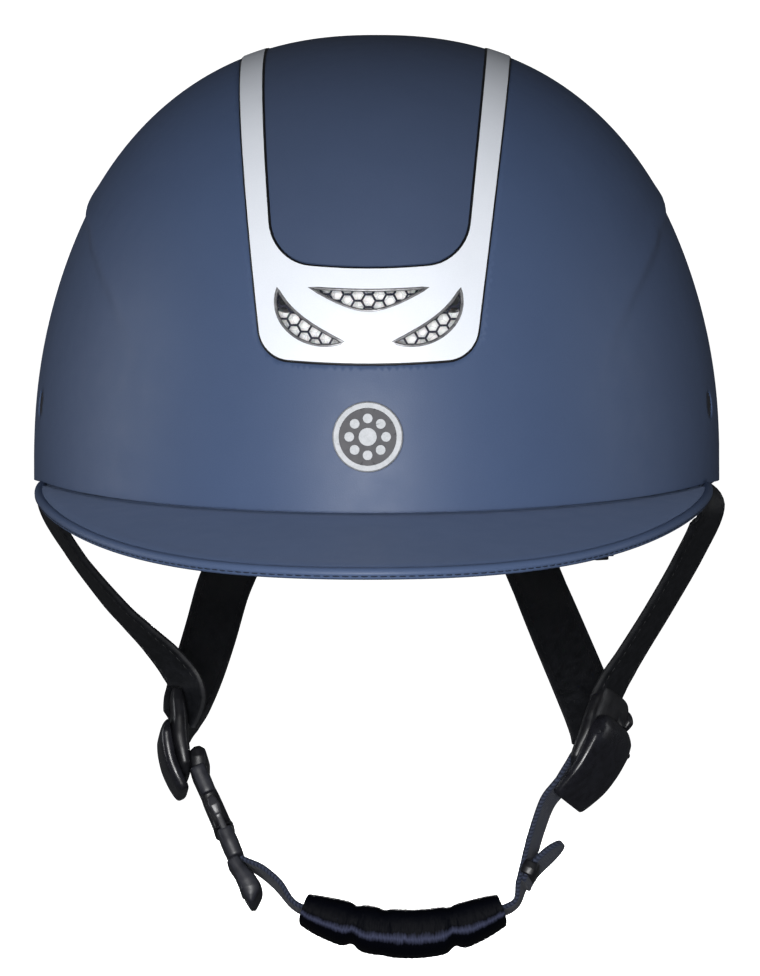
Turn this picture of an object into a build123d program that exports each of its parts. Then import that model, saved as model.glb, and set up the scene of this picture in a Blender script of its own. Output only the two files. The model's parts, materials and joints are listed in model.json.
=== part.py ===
"""Riding helmet with a dial-adjusted nape fit and a four-point chin harness.

Millimetres. X is the wearer's left, -Y is the front, Z is up. The origin is the
centre of the head opening, on the plane of the shell's side rim.
"""
import os

from build123d import *
from math import atan2, cos, degrees, pi, radians, sin

os.makedirs("parts", exist_ok=True)

# ---------------------------------------------------------------- shell form
HALF_WIDTH = 100.0
FRONT_REACH = 138.0
BACK_REACH = 126.0
CROWN_HEIGHT = 128.0
WIDEST_Y = 8.0
ROUNDNESS = 2.3
SKIRT_DEPTH = 34.0
SKIRT_TUCK = 3.5
SHELL_WALL = 3.0
POCKET_DEPTH = 1.6
FRONT_RIM_Z = 1.6
BACK_RIM_Z = -24.0

# ---------------------------------------------------------------- crown trim
TRIM_BOTTOM_Z = 40.4
TRIM_TOP_Z = 150.0
TRIM_LOW_HALF = 29.0
TRIM_SLOPE = 0.123
TRIM_CORNER = 9.0
TRIM_BOW = 1.2
PANEL_BOTTOM_Z = 66.1
PANEL_LOW_HALF = 25.9
PANEL_SLOPE = 0.099
PANEL_CORNER = 12.0
PANEL_BOW = 1.8
TRIM_GAP = 0.45
TRIM_PROUD = 0.45
FLOOR_GAP = 0.1

# ------------------------------------------------------------------ vents
MESH_ACROSS = 2.75
MESH_BAR = 0.55
MESH_THICK = 0.7
MESH_BORDER = 1.6
PLENUM_DEPTH = 3.4
DUCT_RADIUS = 3.6
DUCT_X = 22.5
DUCT_Z = 57.0

# ------------------------------------------------------------------ badge
BADGE_RADIUS = 9.4
BADGE_Z = 21.4
BADGE_PROUD = 1.6
BADGE_RIM = 1.7
BADGE_BACK_GAP = 0.12
BADGE_RECESS = 0.6
STUD_RADIUS = 1.1
STUD_SPAN = 9.0
NUT_RADIUS = 3.4
NUT_THICK = 0.8

# ------------------------------------------------------------------ brim
BRIM_HALF_WIDTH = 95.5
BRIM_TIP_Y = -36.0
BRIM_LENGTH = 151.0
BRIM_WALL = 2.4
BRIM_ROOT_Z = 1.2
BRIM_TIP_Z = 1.2
BRIM_FRONT_Z = -8.05
BRIM_DROP_POWER = 3.6
BRIM_STATIONS = 16
BEAD_RADIUS = 1.6
BEAD_INSET = 1.0
FLANGE_TOP_Z = 10.0
FLANGE_WALL = 1.8
FLANGE_GAP = 0.5
FLANGE_BACK_Y = -42.0

# ------------------------------------------------------------------ liner
LINER_GAP = 0.3
CAVITY_HALF = 80.0
CAVITY_FRONT = 112.0
CAVITY_BACK = 100.0
CAVITY_HEIGHT = 106.0
PAD_THICK = 5.5
PAD_GAP = 0.3
LINER_RAISE = 2.5

# ------------------------------------------------------------------ harness
STRAP_WIDTH = 16.5
STRAP_THICK = 2.0
WEB_WIDTH = 15.0
WEB_THICK = 1.5
CHIN_PLANE_LEAN = 18.0
CHIN_PLANE_Z = -75.0
FRONT_RIVET_Y = -28.0
FRONT_RIVET_Z = 23.0
REAR_RIVET_X = 42.0
REAR_RIVET_Z = -6.0
RIVET_HEAD_R = 3.4
RIVET_SHANK_R = 1.8
RECESS_R = 3.8
RECESS_DEPTH = 1.3

# ------------------------------------------------------------------ fit dial
BELT_RADIUS = 76.0
BELT_CENTRE_Y = 16.0
BELT_THICK = 1.1
BELT_LAYER_GAP = 0.35
BELT_END_ANGLE = 67.0
GUIDE_ANGLE = 60.0
GUIDE_STRUT_R = 79.3
BELT_Z = -24.0
BELT_HEIGHT = 8.0
TONGUE_HEIGHT = 16.0
PINION_TEETH = 10
PINION_PITCH_R = 4.5
TOOTH_TIP = 0.85
TOOTH_ROOT = 1.25
BACKLASH = 0.35
SLOT_SHORT = 6.6
SLOT_LONG = 20.5
KNOB_RADIUS = 11.5
KNOB_DEPTH = 6.8
CRADLE_WALL = 1.6
CRADLE_HALF = 27.0
PINION_BORE = 1.5
DIAL_SHAFT_R = 3.0
RUNNING_GAP = 0.05


# =============================================================== shared forms
def half_dome(width, reach, height, keep):
    """One half of a superelliptic dome, cut at its widest section."""
    power = 2.0 / ROUNDNESS
    steps = 14
    curve_points = [(width - SKIRT_TUCK, -SKIRT_DEPTH), (width - SKIRT_TUCK / 5, -SKIRT_DEPTH / 2)]
    for step in range(steps + 1):
        angle = step / steps * pi / 2
        across = width * max(cos(angle), 0.0) ** power
        upward = height * sin(angle) ** power
        curve_points.append((across, upward))
    with BuildPart() as half:
        with BuildSketch(Plane.XZ):
            with BuildLine():
                Spline(curve_points, tangents=((0.16, 1.0), (-1.0, 0.0)))
                Polyline((0, height), (0, -SKIRT_DEPTH), (width - SKIRT_TUCK, -SKIRT_DEPTH))
            make_face()
        revolve(axis=Axis.Z)
        scale(by=(1.0, reach / width, 1.0))
        split(bisect_by=Plane.XZ, keep=keep)
    return half.part


def dome(grow, width=HALF_WIDTH, front=FRONT_REACH, back=BACK_REACH, height=CROWN_HEIGHT):
    """Closed solid that follows the shell's outer form, grown all round."""
    with BuildPart() as whole:
        with Locations((0, WIDEST_Y, 0)):
            add(half_dome(width + grow, front + grow, height + grow, Keep.TOP))
            add(half_dome(width + grow, back + grow, height + grow, Keep.BOTTOM))
    return whole.part


def level(z, grow):
    """Share of the full plan that the shell keeps at a height."""
    rise = max(z, 0.0) / (CROWN_HEIGHT + grow)
    return (1.0 - rise**ROUNDNESS) ** (1.0 / ROUNDNESS)


def side_x(y, z, grow):
    """Half width of the shell's form at a given Y and Z."""
    reach = (FRONT_REACH if y < WIDEST_Y else BACK_REACH) + grow
    inside = max(level(z, grow) ** 2 - ((y - WIDEST_Y) / reach) ** 2, 0.0)
    return (HALF_WIDTH + grow) * inside**0.5


def front_y(x, z, grow):
    """Front surface's Y at a given X and Z."""
    inside = max(level(z, grow) ** 2 - (x / (HALF_WIDTH + grow)) ** 2, 0.0)
    return WIDEST_Y - (FRONT_REACH + grow) * inside**0.5


def back_y(x, z, grow):
    """Back surface's Y at a given X and Z."""
    inside = max(level(z, grow) ** 2 - (x / (HALF_WIDTH + grow)) ** 2, 0.0)
    return WIDEST_Y + (BACK_REACH + grow) * inside**0.5


def outward_plane(x, y, z):
    """Plane on the shell's form, with its normal straight out of it."""
    reach = FRONT_REACH if y < WIDEST_Y else BACK_REACH
    out_x = x / HALF_WIDTH**2
    out_y = (y - WIDEST_Y) / reach**2
    out_z = (max(z, 0.0) / CROWN_HEIGHT) ** (ROUNDNESS - 1.0) / CROWN_HEIGHT
    return Plane(origin=(x, y, z), x_dir=(-out_y, out_x, 0), z_dir=(out_x, out_y, out_z))


def below_rim(raise_by):
    """Everything under the rim line, as seen from the side, to be cut away."""
    reach = 240.0
    with BuildPart() as cutter:
        with BuildSketch(Plane.YZ):
            with BuildLine():
                Polyline(
                    (95.0, BACK_RIM_Z + raise_by),
                    (reach, BACK_RIM_Z + raise_by),
                    (reach, -reach),
                    (-reach, -reach),
                    (-reach, FRONT_RIM_Z + raise_by),
                    (-50.0, FRONT_RIM_Z + raise_by),
                )
                Spline(
                    (-50.0, FRONT_RIM_Z + raise_by),
                    (-15.0, raise_by),
                    (25.0, raise_by - 4.0),
                    (62.0, raise_by - 16.0),
                    (95.0, BACK_RIM_Z + raise_by),
                    tangents=((1.0, 0.0), (1.0, 0.0)),
                )
            make_face()
        extrude(amount=reach, both=True)
    return cutter.part


def crown_prism(low_half, slope, bottom_z, corner, bow, shrink):
    """Prism along Y with the trim's U outline: bowed below, rounded at the lower corners."""
    low_z = bottom_z + shrink
    low = low_half - shrink
    high = low + slope * (TRIM_TOP_Z - bottom_z)
    with BuildPart() as prism:
        with BuildSketch(Plane.XZ) as outline:
            with BuildLine():
                ThreePointArc((-low, low_z + bow), (0, low_z), (low, low_z + bow))
                Polyline((low, low_z + bow), (high, TRIM_TOP_Z), (-high, TRIM_TOP_Z), (-low, low_z + bow))
            make_face()
            fillet(outline.vertices().sort_by(Axis.Y)[:2], radius=corner - shrink)
        extrude(amount=220.0, both=True)
    return prism.part


def vent_outlines(border):
    """The three vent openings of one end as a prism along Y, grown by border."""
    tip_x = 16.0 + border
    side_tip = border * 0.7
    with BuildPart() as vents:
        with BuildSketch(Plane.XZ) as faces:
            with BuildLine():
                ThreePointArc((-tip_x, 60.7), (0, 60.1 + border), (tip_x, 60.7))
                Spline((-tip_x, 60.7), (-9.3, 57.2 - border), (0, 54.7 - border), (9.3, 57.2 - border), (tip_x, 60.7))
            make_face()
            with BuildLine():
                Spline(
                    (-24.6 - side_tip, 60.4 + side_tip),
                    (-20.6 + side_tip, 55.2 + side_tip),
                    (-15.4 + side_tip, 51.2 + side_tip),
                    (-6.6 + border, 46.4),
                )
                Spline(
                    (-6.6 + border, 46.4),
                    (-15.8, 46.0 - border),
                    (-22.4 - side_tip, 50.0 - side_tip),
                    (-24.6 - side_tip, 60.4 + side_tip),
                )
            make_face()
            mirror(about=Plane.YZ)
        extrude(amount=220.0, both=True)
    return vents.part


def chin(u, v, w=0.0):
    """Point of the harness plane, which leans forward under the chin."""
    lean = radians(CHIN_PLANE_LEAN)
    return (u, v * sin(lean) - w * cos(lean), CHIN_PLANE_Z + v * cos(lean) + w * sin(lean))


ACROSS = (0.0, -cos(radians(CHIN_PLANE_LEAN)), sin(radians(CHIN_PLANE_LEAN)))


def between(p0, p1, p2, p3, share):
    """Smooth blend from p1 to p2 that also heeds the points on either side."""
    cubic = (p1 - p2) * 3 + p3 - p0
    square = p0 * 2 - p1 * 5 + p2 * 4 - p3
    return (p1 * 2 + (p2 - p0) * share + square * share**2 + cubic * share**3) * 0.5


def densify(stations, steps):
    """Stations with extra ones blended in between."""
    centres = [Vector(*centre) for centre, across in stations]
    last = len(stations) - 1
    dense = []
    for index in range(last):
        p0 = centres[max(index - 1, 0)]
        p3 = centres[min(index + 2, last)]
        a0 = Vector(*stations[index][1])
        a1 = Vector(*stations[index + 1][1])
        for step in range(steps):
            share = step / steps
            centre = between(p0, centres[index], centres[index + 1], p3, share)
            dense.append((centre, a0 * (1 - share) + a1 * share))
    dense.append((centres[last], Vector(*stations[last][1])))
    return dense


def ribbon(stations, width, thickness, steps=3):
    """Flat strap lofted through stations of a centre and a width direction."""
    dense = densify(stations, steps)
    last = len(dense) - 1
    with BuildPart() as strap:
        for index, (centre, across) in enumerate(dense):
            along = (dense[min(index + 1, last)][0] - dense[max(index - 1, 0)][0]).normalized()
            lateral = (across - along * across.dot(along)).normalized()
            with BuildSketch(Plane(origin=centre, x_dir=lateral, z_dir=along)):
                Rectangle(width, thickness)
        loft(ruled=True)
    return strap.part


def save(part, name):
    """Label a finished piece and write its own file."""
    part.label = name
    export_step(part, f"parts/{name}.step")


# ================================================================ outer shell
outer_form = dome(0.0)
pocket_form = dome(-POCKET_DEPTH)
inner_form = dome(-SHELL_WALL)
shell_rim = below_rim(0.0)
trim_pocket = crown_prism(TRIM_LOW_HALF, TRIM_SLOPE, TRIM_BOTTOM_Z, TRIM_CORNER, TRIM_BOW, 0.0)
front_half = Box(400, 400, 400, align=(Align.CENTER, Align.MAX, Align.CENTER), mode=Mode.PRIVATE)
back_half = Box(400, 400, 400, align=(Align.CENTER, Align.MIN, Align.CENTER), mode=Mode.PRIVATE)

badge_plane = outward_plane(0, front_y(0, BADGE_Z, 0.0), BADGE_Z)
rivet_places = []
for side in (-1, 1):
    rivet_places.append((side * side_x(FRONT_RIVET_Y, FRONT_RIVET_Z, 0.0), FRONT_RIVET_Y, FRONT_RIVET_Z))
    rivet_places.append((side * REAR_RIVET_X, back_y(REAR_RIVET_X, REAR_RIVET_Z, 0.0), REAR_RIVET_Z))


with BuildPart() as outer_shell:
    add(outer_form)
    add(inner_form, mode=Mode.SUBTRACT)
    add(shell_rim, mode=Mode.SUBTRACT)
    add(trim_pocket - pocket_form, mode=Mode.SUBTRACT)
    add(vent_outlines(MESH_BORDER + 0.4), mode=Mode.SUBTRACT)
    for place in rivet_places:
        with BuildSketch(outward_plane(*place)):
            Circle(RIVET_SHANK_R + RUNNING_GAP)
        extrude(amount=-8.0, mode=Mode.SUBTRACT)
        with BuildSketch(outward_plane(*place).offset(-RECESS_DEPTH)):
            Circle(RECESS_R)
        extrude(amount=4.0, mode=Mode.SUBTRACT)
    with BuildSketch(badge_plane.offset(3.0)):
        with GridLocations(STUD_SPAN, 0, 2, 1):
            Circle(STUD_RADIUS + 0.05)
    extrude(amount=-12.0, mode=Mode.SUBTRACT)
save(outer_shell.part, "outer_shell")

# ============================================================ crown overlays
trim_top_form = dome(TRIM_PROUD)
trim_floor_form = dome(FLOOR_GAP - POCKET_DEPTH)
panel_opening = crown_prism(PANEL_LOW_HALF, PANEL_SLOPE, PANEL_BOTTOM_Z, PANEL_CORNER, PANEL_BOW, -TRIM_GAP)
panel_outline = crown_prism(PANEL_LOW_HALF, PANEL_SLOPE, PANEL_BOTTOM_Z, PANEL_CORNER, PANEL_BOW, TRIM_GAP / 2)
trim_outline = crown_prism(TRIM_LOW_HALF, TRIM_SLOPE, TRIM_BOTTOM_Z, TRIM_CORNER, TRIM_BOW, TRIM_GAP)

with BuildPart() as vent_frame:
    add(trim_top_form)
    add(trim_floor_form, mode=Mode.SUBTRACT)
    add(trim_outline, mode=Mode.INTERSECT)
    add(panel_opening, mode=Mode.SUBTRACT)
    add(vent_outlines(0.0), mode=Mode.SUBTRACT)
save(vent_frame.part, "vent_frame")

with BuildPart() as crown_panel:
    add(dome(0.1))
    add(trim_floor_form, mode=Mode.SUBTRACT)
    add(panel_outline, mode=Mode.INTERSECT)
save(crown_panel.part, "crown_panel")


# ================================================================ vent meshes
def hex_holes():
    """Honeycomb of through holes as a prism along Y over the vent area."""
    pitch = MESH_ACROSS + MESH_BAR
    with BuildPart() as holes:
        with BuildSketch(Plane.XZ):
            with Locations((0, 53.0)):
                with HexLocations(radius=pitch / 2, x_count=19, y_count=7, major_radius=False):
                    RegularPolygon(MESH_ACROSS / 2, 6, major_radius=False)
        extrude(amount=220.0, both=True)
    return holes.part


mesh_outer_form = dome(-POCKET_DEPTH - 0.1)
mesh_inner_form = dome(-POCKET_DEPTH - 0.1 - MESH_THICK)
mesh_outline = vent_outlines(MESH_BORDER)
mesh_holes = hex_holes()
for mesh_name, mesh_side in (("front_vent_mesh", front_half), ("rear_vent_mesh", back_half)):
    with BuildPart() as vent_mesh:
        add(mesh_outer_form)
        add(mesh_inner_form, mode=Mode.SUBTRACT)
        add(mesh_outline, mode=Mode.INTERSECT)
        add(mesh_side, mode=Mode.INTERSECT)
        add(mesh_holes, mode=Mode.SUBTRACT)
    save(vent_mesh.part, mesh_name)

# ====================================================================== badge
with BuildPart() as badge:
    with BuildSketch(badge_plane.offset(BADGE_BACK_GAP)):
        Circle(BADGE_RADIUS)
    extrude(amount=BADGE_PROUD - BADGE_BACK_GAP)
    chamfer(badge.faces().sort_by(Axis.Y)[0].edges(), length=0.35)
    with BuildSketch(badge_plane.offset(BADGE_PROUD)):
        Circle(BADGE_RADIUS - BADGE_RIM)
        Circle(2.4, mode=Mode.SUBTRACT)
        with PolarLocations(4.9, 8):
            Circle(1.3, mode=Mode.SUBTRACT)
    extrude(amount=-BADGE_RECESS, mode=Mode.SUBTRACT)
    with BuildSketch(badge_plane.offset(BADGE_BACK_GAP + 0.3)):
        with GridLocations(STUD_SPAN, 0, 2, 1):
            Circle(STUD_RADIUS)
    extrude(amount=-5.6)
save(badge.part, "badge")

with BuildPart() as badge_nuts:
    with BuildSketch(badge_plane.offset(-SHELL_WALL - 0.6)):
        with GridLocations(STUD_SPAN, 0, 2, 1):
            Circle(NUT_RADIUS)
            Circle(STUD_RADIUS + 0.05, mode=Mode.SUBTRACT)
    extrude(amount=-NUT_THICK)
save(badge_nuts.part, "badge_push_nuts")


# ======================================================================= brim
def brim_station(share):
    """Root and edge of the brim on one radius: heading, distances and edge height."""
    sweep_angle = share * pi / 2
    edge_x = BRIM_HALF_WIDTH * sin(sweep_angle)
    edge_y = BRIM_TIP_Y - BRIM_LENGTH * cos(sweep_angle)
    edge = (edge_x**2 + (WIDEST_Y - edge_y) ** 2) ** 0.5
    out_x = edge_x / edge
    out_y = (edge_y - WIDEST_Y) / edge
    root = 1.0 / ((out_x / HALF_WIDTH) ** 2 + (out_y / FRONT_REACH) ** 2) ** 0.5
    rise = (BRIM_TIP_Z - BRIM_FRONT_Z) * abs(sin(sweep_angle)) ** BRIM_DROP_POWER
    return (out_x, out_y, root, edge, BRIM_FRONT_Z + rise)


brim_stations = [brim_station(2.0 * index / BRIM_STATIONS - 1.0) for index in range(BRIM_STATIONS + 1)]


def brim_corners(station):
    """Root top, edge top, and the offset to the underside, in the section."""
    out_x, out_y, root, edge, edge_z = station
    slope = atan2(edge_z - BRIM_ROOT_Z, edge - root)
    return (root - 0.2, edge, edge_z, BRIM_WALL * sin(slope), -BRIM_WALL * cos(slope), slope)


bead_points = []
for station in brim_stations:
    root, edge, edge_z, down_r, down_z, slope = brim_corners(station)
    along = edge + down_r / 2 - BEAD_INSET * cos(slope)
    bead_points.append((station[0] * along, WIDEST_Y + station[1] * along, edge_z + down_z / 2))

with BuildPart() as brim_bead:
    with BuildLine() as bead_path:
        Spline(*bead_points)
    with BuildSketch(Plane(origin=bead_path.line @ 0, z_dir=bead_path.line % 0)):
        Circle(BEAD_RADIUS)
    sweep(path=bead_path.line)
save(brim_bead.part, "brim_piping")

with BuildPart() as brim:
    for station in brim_stations:
        root, edge, edge_z, down_r, down_z, slope = brim_corners(station)
        section = Plane(
            origin=(0, WIDEST_Y, 0),
            x_dir=(station[0], station[1], 0),
            z_dir=(station[1], -station[0], 0),
        )
        with BuildSketch(section):
            Polygon(
                (root, BRIM_ROOT_Z),
                (edge, edge_z),
                (edge + down_r, edge_z + down_z),
                (root + down_r, BRIM_ROOT_Z + down_z),
                align=None,
            )
    loft()
    with BuildSketch(Plane.XY.offset(BRIM_ROOT_Z - 2.2)):
        with Locations((0, WIDEST_Y)):
            Ellipse(HALF_WIDTH - 0.3, FRONT_REACH - 0.3)
            inset = SHELL_WALL + FLANGE_GAP + FLANGE_WALL
            Ellipse(HALF_WIDTH - inset, FRONT_REACH - inset, mode=Mode.SUBTRACT)
        with Locations((0, FLANGE_BACK_Y)):
            Rectangle(300, 300, align=(Align.CENTER, Align.MIN), mode=Mode.SUBTRACT)
    extrude(amount=2.2)
    with BuildSketch(Plane.XY.offset(BRIM_ROOT_Z - 2.2)):
        with Locations((0, WIDEST_Y)):
            outer_inset = SHELL_WALL + FLANGE_GAP
            Ellipse(HALF_WIDTH - outer_inset, FRONT_REACH - outer_inset)
            Ellipse(HALF_WIDTH - inset, FRONT_REACH - inset, mode=Mode.SUBTRACT)
        with Locations((0, FLANGE_BACK_Y)):
            Rectangle(300, 300, align=(Align.CENTER, Align.MIN), mode=Mode.SUBTRACT)
    extrude(amount=FLANGE_TOP_Z - BRIM_ROOT_Z + 2.2)
    add(brim_bead.part, mode=Mode.SUBTRACT)
save(brim.part, "brim")

# ================================================================== eps liner
cavity_form = dome(0.0, CAVITY_HALF, CAVITY_FRONT, CAVITY_BACK, CAVITY_HEIGHT)
strap_channel_form = dome(-SHELL_WALL - STRAP_THICK - 1.6)

with BuildPart() as strap_channels:
    for side in (-1, 1):
        with Locations((side * HALF_WIDTH, FRONT_RIVET_Y, 0)):
            Box(60, STRAP_WIDTH + 5, 80)
        with Locations((side * REAR_RIVET_X, BACK_REACH, -20)):
            Box(STRAP_WIDTH + 4, 60, 80)
    add(strap_channel_form, mode=Mode.SUBTRACT)

with BuildPart() as eps_liner:
    add(dome(-SHELL_WALL - LINER_GAP))
    add(cavity_form, mode=Mode.SUBTRACT)
    add(below_rim(LINER_RAISE), mode=Mode.SUBTRACT)
    add(vent_outlines(3.0) - dome(-SHELL_WALL - LINER_GAP - PLENUM_DEPTH), mode=Mode.SUBTRACT)
    add(strap_channels.part, mode=Mode.SUBTRACT)
    with BuildSketch(Plane.XZ):
        with Locations((-DUCT_X, DUCT_Z), (DUCT_X, DUCT_Z)):
            Circle(DUCT_RADIUS)
    extrude(amount=200.0, both=True, mode=Mode.SUBTRACT)
    with BuildSketch(Plane.XY.offset(-30)):
        with Locations((0, WIDEST_Y)):
            Ellipse(HALF_WIDTH + 10, FRONT_REACH + 10)
            Ellipse(HALF_WIDTH - inset - 0.5, FRONT_REACH - inset - 0.5, mode=Mode.SUBTRACT)
        with Locations((0, FLANGE_BACK_Y + 2)):
            Rectangle(300, 300, align=(Align.CENTER, Align.MIN), mode=Mode.SUBTRACT)
    extrude(amount=30 + FLANGE_TOP_Z + 0.8, mode=Mode.SUBTRACT)
    for place in rivet_places:
        with BuildSketch(outward_plane(*place)):
            Circle(5.6)
        extrude(amount=-9.5, mode=Mode.SUBTRACT)
    with Locations((0, front_y(0, BADGE_Z, -SHELL_WALL), BADGE_Z)):
        Box(20, 14, 10, mode=Mode.SUBTRACT)
    with Locations((0, CAVITY_BACK, -22)):
        Box(34, 26, 36, mode=Mode.SUBTRACT)
save(eps_liner.part, "eps_liner")

# ================================================================ comfort pads
pad_outer_form = dome(-PAD_GAP, CAVITY_HALF, CAVITY_FRONT, CAVITY_BACK, CAVITY_HEIGHT)
pad_inner_form = dome(-PAD_GAP - PAD_THICK, CAVITY_HALF, CAVITY_FRONT, CAVITY_BACK, CAVITY_HEIGHT)

with BuildPart() as headband_pad:
    with Locations((0, -4, 5)):
        Box(400, 400, 34, align=(Align.CENTER, Align.MAX, Align.MIN))
    add(pad_outer_form, mode=Mode.INTERSECT)
    add(pad_inner_form, mode=Mode.SUBTRACT)
save(headband_pad.part, "headband_pad")

with BuildPart() as crown_pad:
    with BuildSketch():
        Ellipse(34, 46)
        Ellipse(17, 27, mode=Mode.SUBTRACT)
    extrude(amount=200)
    add(pad_outer_form, mode=Mode.INTERSECT)
    add(pad_inner_form, mode=Mode.SUBTRACT)
save(crown_pad.part, "crown_pad")

# ==================================================================== rivets
with BuildPart() as harness_rivets:
    for place in rivet_places:
        with BuildSketch(outward_plane(*place).offset(-RECESS_DEPTH + 0.05)):
            Circle(RIVET_HEAD_R)
        extrude(amount=0.9)
        with BuildSketch(outward_plane(*place).offset(-RECESS_DEPTH + 0.05)):
            Circle(RIVET_SHANK_R)
        extrude(amount=-6.4)
save(harness_rivets.part, "harness_rivets")

with BuildPart() as rivet_washers:
    for place in rivet_places:
        with BuildSketch(outward_plane(*place).offset(-6.6)):
            Circle(5.0)
            Circle(RIVET_SHANK_R + RUNNING_GAP, mode=Mode.SUBTRACT)
        extrude(amount=-0.8)
save(rivet_washers.part, "rivet_washers")

# ============================================================ strap adjusters
LEAN = radians(CHIN_PLANE_LEAN)
UP = Vector(0, sin(LEAN), cos(LEAN))
FORWARD = Vector(*ACROSS)


def adjuster_frame(centre, tilt, twist, side):
    """Local frame of an adjuster: X out from the cheek, Z up along its axis."""
    upward = Vector(1, 0, 0) * sin(radians(tilt)) + UP * cos(radians(tilt))
    flat = Vector(1, 0, 0) * cos(radians(tilt)) - UP * sin(radians(tilt))
    outward = flat * (side * cos(radians(twist))) + FORWARD * sin(radians(twist))
    return Plane(origin=chin(*centre), x_dir=outward, z_dir=upward)


ADJUSTERS = {
    "right": adjuster_frame((-57.8, -1.5), -5.9, 6.0, -1),
    "left": adjuster_frame((65.5, -1.0), 19.5, 24.0, 1),
}
BODY_HALF = 12.5
BODY_WALL = 3.2
EAR_INNER = 9.2
PIN_X = 4.3
PIN_Z = -1.5
PIN_RADIUS = 1.0
LEVER_HALF = 8.8

for side_name, frame in ADJUSTERS.items():
    with BuildPart(frame) as adjuster_body:
        Box(BODY_WALL, 2 * BODY_HALF, 22)
        fillet(adjuster_body.edges().filter_by(Axis((0, 0, 0), frame.x_dir)), radius=2.0)
        with Locations((0, 0, 5.6)):
            Box(BODY_WALL * 2, 2 * BODY_HALF - 5, 6.0, mode=Mode.SUBTRACT)
        with Locations((0, 0, -6.2)):
            Box(BODY_WALL * 2, 2 * BODY_HALF - 6, 5.0, mode=Mode.SUBTRACT)
        for ear_side in (-1, 1):
            with Locations((BODY_WALL / 2, ear_side * (EAR_INNER + BODY_HALF) / 2, PIN_Z)):
                Box(5.0, BODY_HALF - EAR_INNER, 6.0, align=(Align.MIN, Align.CENTER, Align.CENTER))
        with Locations((PIN_X, 0, PIN_Z)):
            Cylinder(PIN_RADIUS + RUNNING_GAP, 60, rotation=(90, 0, 0), mode=Mode.SUBTRACT)
    save(adjuster_body.part, f"adjuster_body_{side_name}")

    with BuildPart(frame) as lever_pin:
        with Locations((PIN_X, 0, PIN_Z)):
            Cylinder(PIN_RADIUS, 2 * BODY_HALF, rotation=(90, 0, 0))
    save(lever_pin.part, f"lever_pin_{side_name}")

    lever_plane = Plane(origin=frame.origin, x_dir=frame.x_dir, z_dir=-frame.y_dir)
    with BuildPart() as cam_lever:
        with BuildSketch(lever_plane):
            with BuildLine():
                Spline((PIN_X + 2.2, PIN_Z + 1.0), (PIN_X + 2.0, -8.0), (4.6, -14.5), (1.4, -19.6))
                Line((1.4, -19.6), (0.4, -18.2))
                Spline((0.4, -18.2), (2.9, -13.6), (4.4, -8.0), (PIN_X - 1.6, PIN_Z - 1.0))
                Line((PIN_X - 1.6, PIN_Z - 1.0), (PIN_X + 2.2, PIN_Z + 1.0))
            make_face()
            with Locations((PIN_X, PIN_Z)):
                Circle(2.3)
                Circle(PIN_RADIUS + RUNNING_GAP, mode=Mode.SUBTRACT)
        extrude(amount=LEVER_HALF, both=True)
    save(cam_lever.part, f"cam_lever_{side_name}")


# ================================================================ head straps
def wall_station(side, y, z):
    """Strap station against the inside of the shell's side wall."""
    x = side_x(y, z, -SHELL_WALL - 1.5)
    turn = -((y - WIDEST_Y) / FRONT_REACH**2) / (x / HALF_WIDTH**2)
    return ((side * x, y, z), (side * turn, 1.0, 0.0))


def nape_station(side, z):
    """Strap station against the inside of the shell's back wall."""
    y = back_y(REAR_RIVET_X, z, -SHELL_WALL - 1.8)
    turn = -(REAR_RIVET_X / HALF_WIDTH**2) / ((y - WIDEST_Y) / BACK_REACH**2)
    return ((side * REAR_RIVET_X, y, z), (1.0, side * turn, 0.0))


def strap_end(frame, out, along, up):
    """Point given in an adjuster's own frame."""
    return tuple(frame.from_local_coords(Vector(out, along, up)))


def drill(strap, place):
    """The strap with its rivet hole."""
    with BuildPart() as drilled:
        add(strap)
        with BuildSketch(outward_plane(*place)):
            Circle(RIVET_SHANK_R + RUNNING_GAP)
        extrude(amount=-12.0, mode=Mode.SUBTRACT)
    return drilled.part


right_frame = ADJUSTERS["right"]
left_frame = ADJUSTERS["left"]
right_across = tuple(right_frame.y_dir)
left_across = tuple(-left_frame.y_dir)
right_rearward = tuple(-right_frame.y_dir)
left_rearward = tuple(left_frame.y_dir)
front_right = ribbon(
    [
        wall_station(-1, FRONT_RIVET_Y, 30.0),
        wall_station(-1, FRONT_RIVET_Y, 14.0),
        wall_station(-1, FRONT_RIVET_Y + 3.0, 0.0),
        ((-94.4, -21.0, -9.0), (-0.1, 1.0, 0.1)),
        ((-86.9, -14.0, -22.0), (-0.13, 1.0, 0.2)),
        ((-75.6, -8.0, -37.0), (-0.19, 1.0, 0.2)),
        ((-64.0, -3.0, -52.5), (-0.2, 1.0, 0.3)),
        (strap_end(right_frame, 3.6, -1.6, 13.5), right_rearward),
        (strap_end(right_frame, 3.6, -0.8, 9.6), right_rearward),
        (strap_end(right_frame, 1.3, -0.6, 4.4), right_rearward),
    ],
    STRAP_WIDTH,
    STRAP_THICK,
)
front_left = ribbon(
    [
        wall_station(1, FRONT_RIVET_Y, 30.0),
        wall_station(1, FRONT_RIVET_Y, 14.0),
        wall_station(1, FRONT_RIVET_Y + 3.0, 0.0),
        ((95.4, -21.0, -9.0), (0.1, 1.0, 0.1)),
        ((90.5, -14.0, -22.0), (0.3, 1.0, 0.2)),
        ((82.8, -8.0, -37.0), (0.32, 1.0, 0.2)),
        ((73.8, -3.0, -51.5), (0.36, 1.0, 0.0)),
        (strap_end(left_frame, 3.2, 1.6, 13.5), left_rearward),
        (strap_end(left_frame, 3.3, 0.8, 9.6), left_rearward),
        (strap_end(left_frame, 1.3, 0.6, 4.4), left_rearward),
    ],
    STRAP_WIDTH,
    STRAP_THICK,
)
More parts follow.
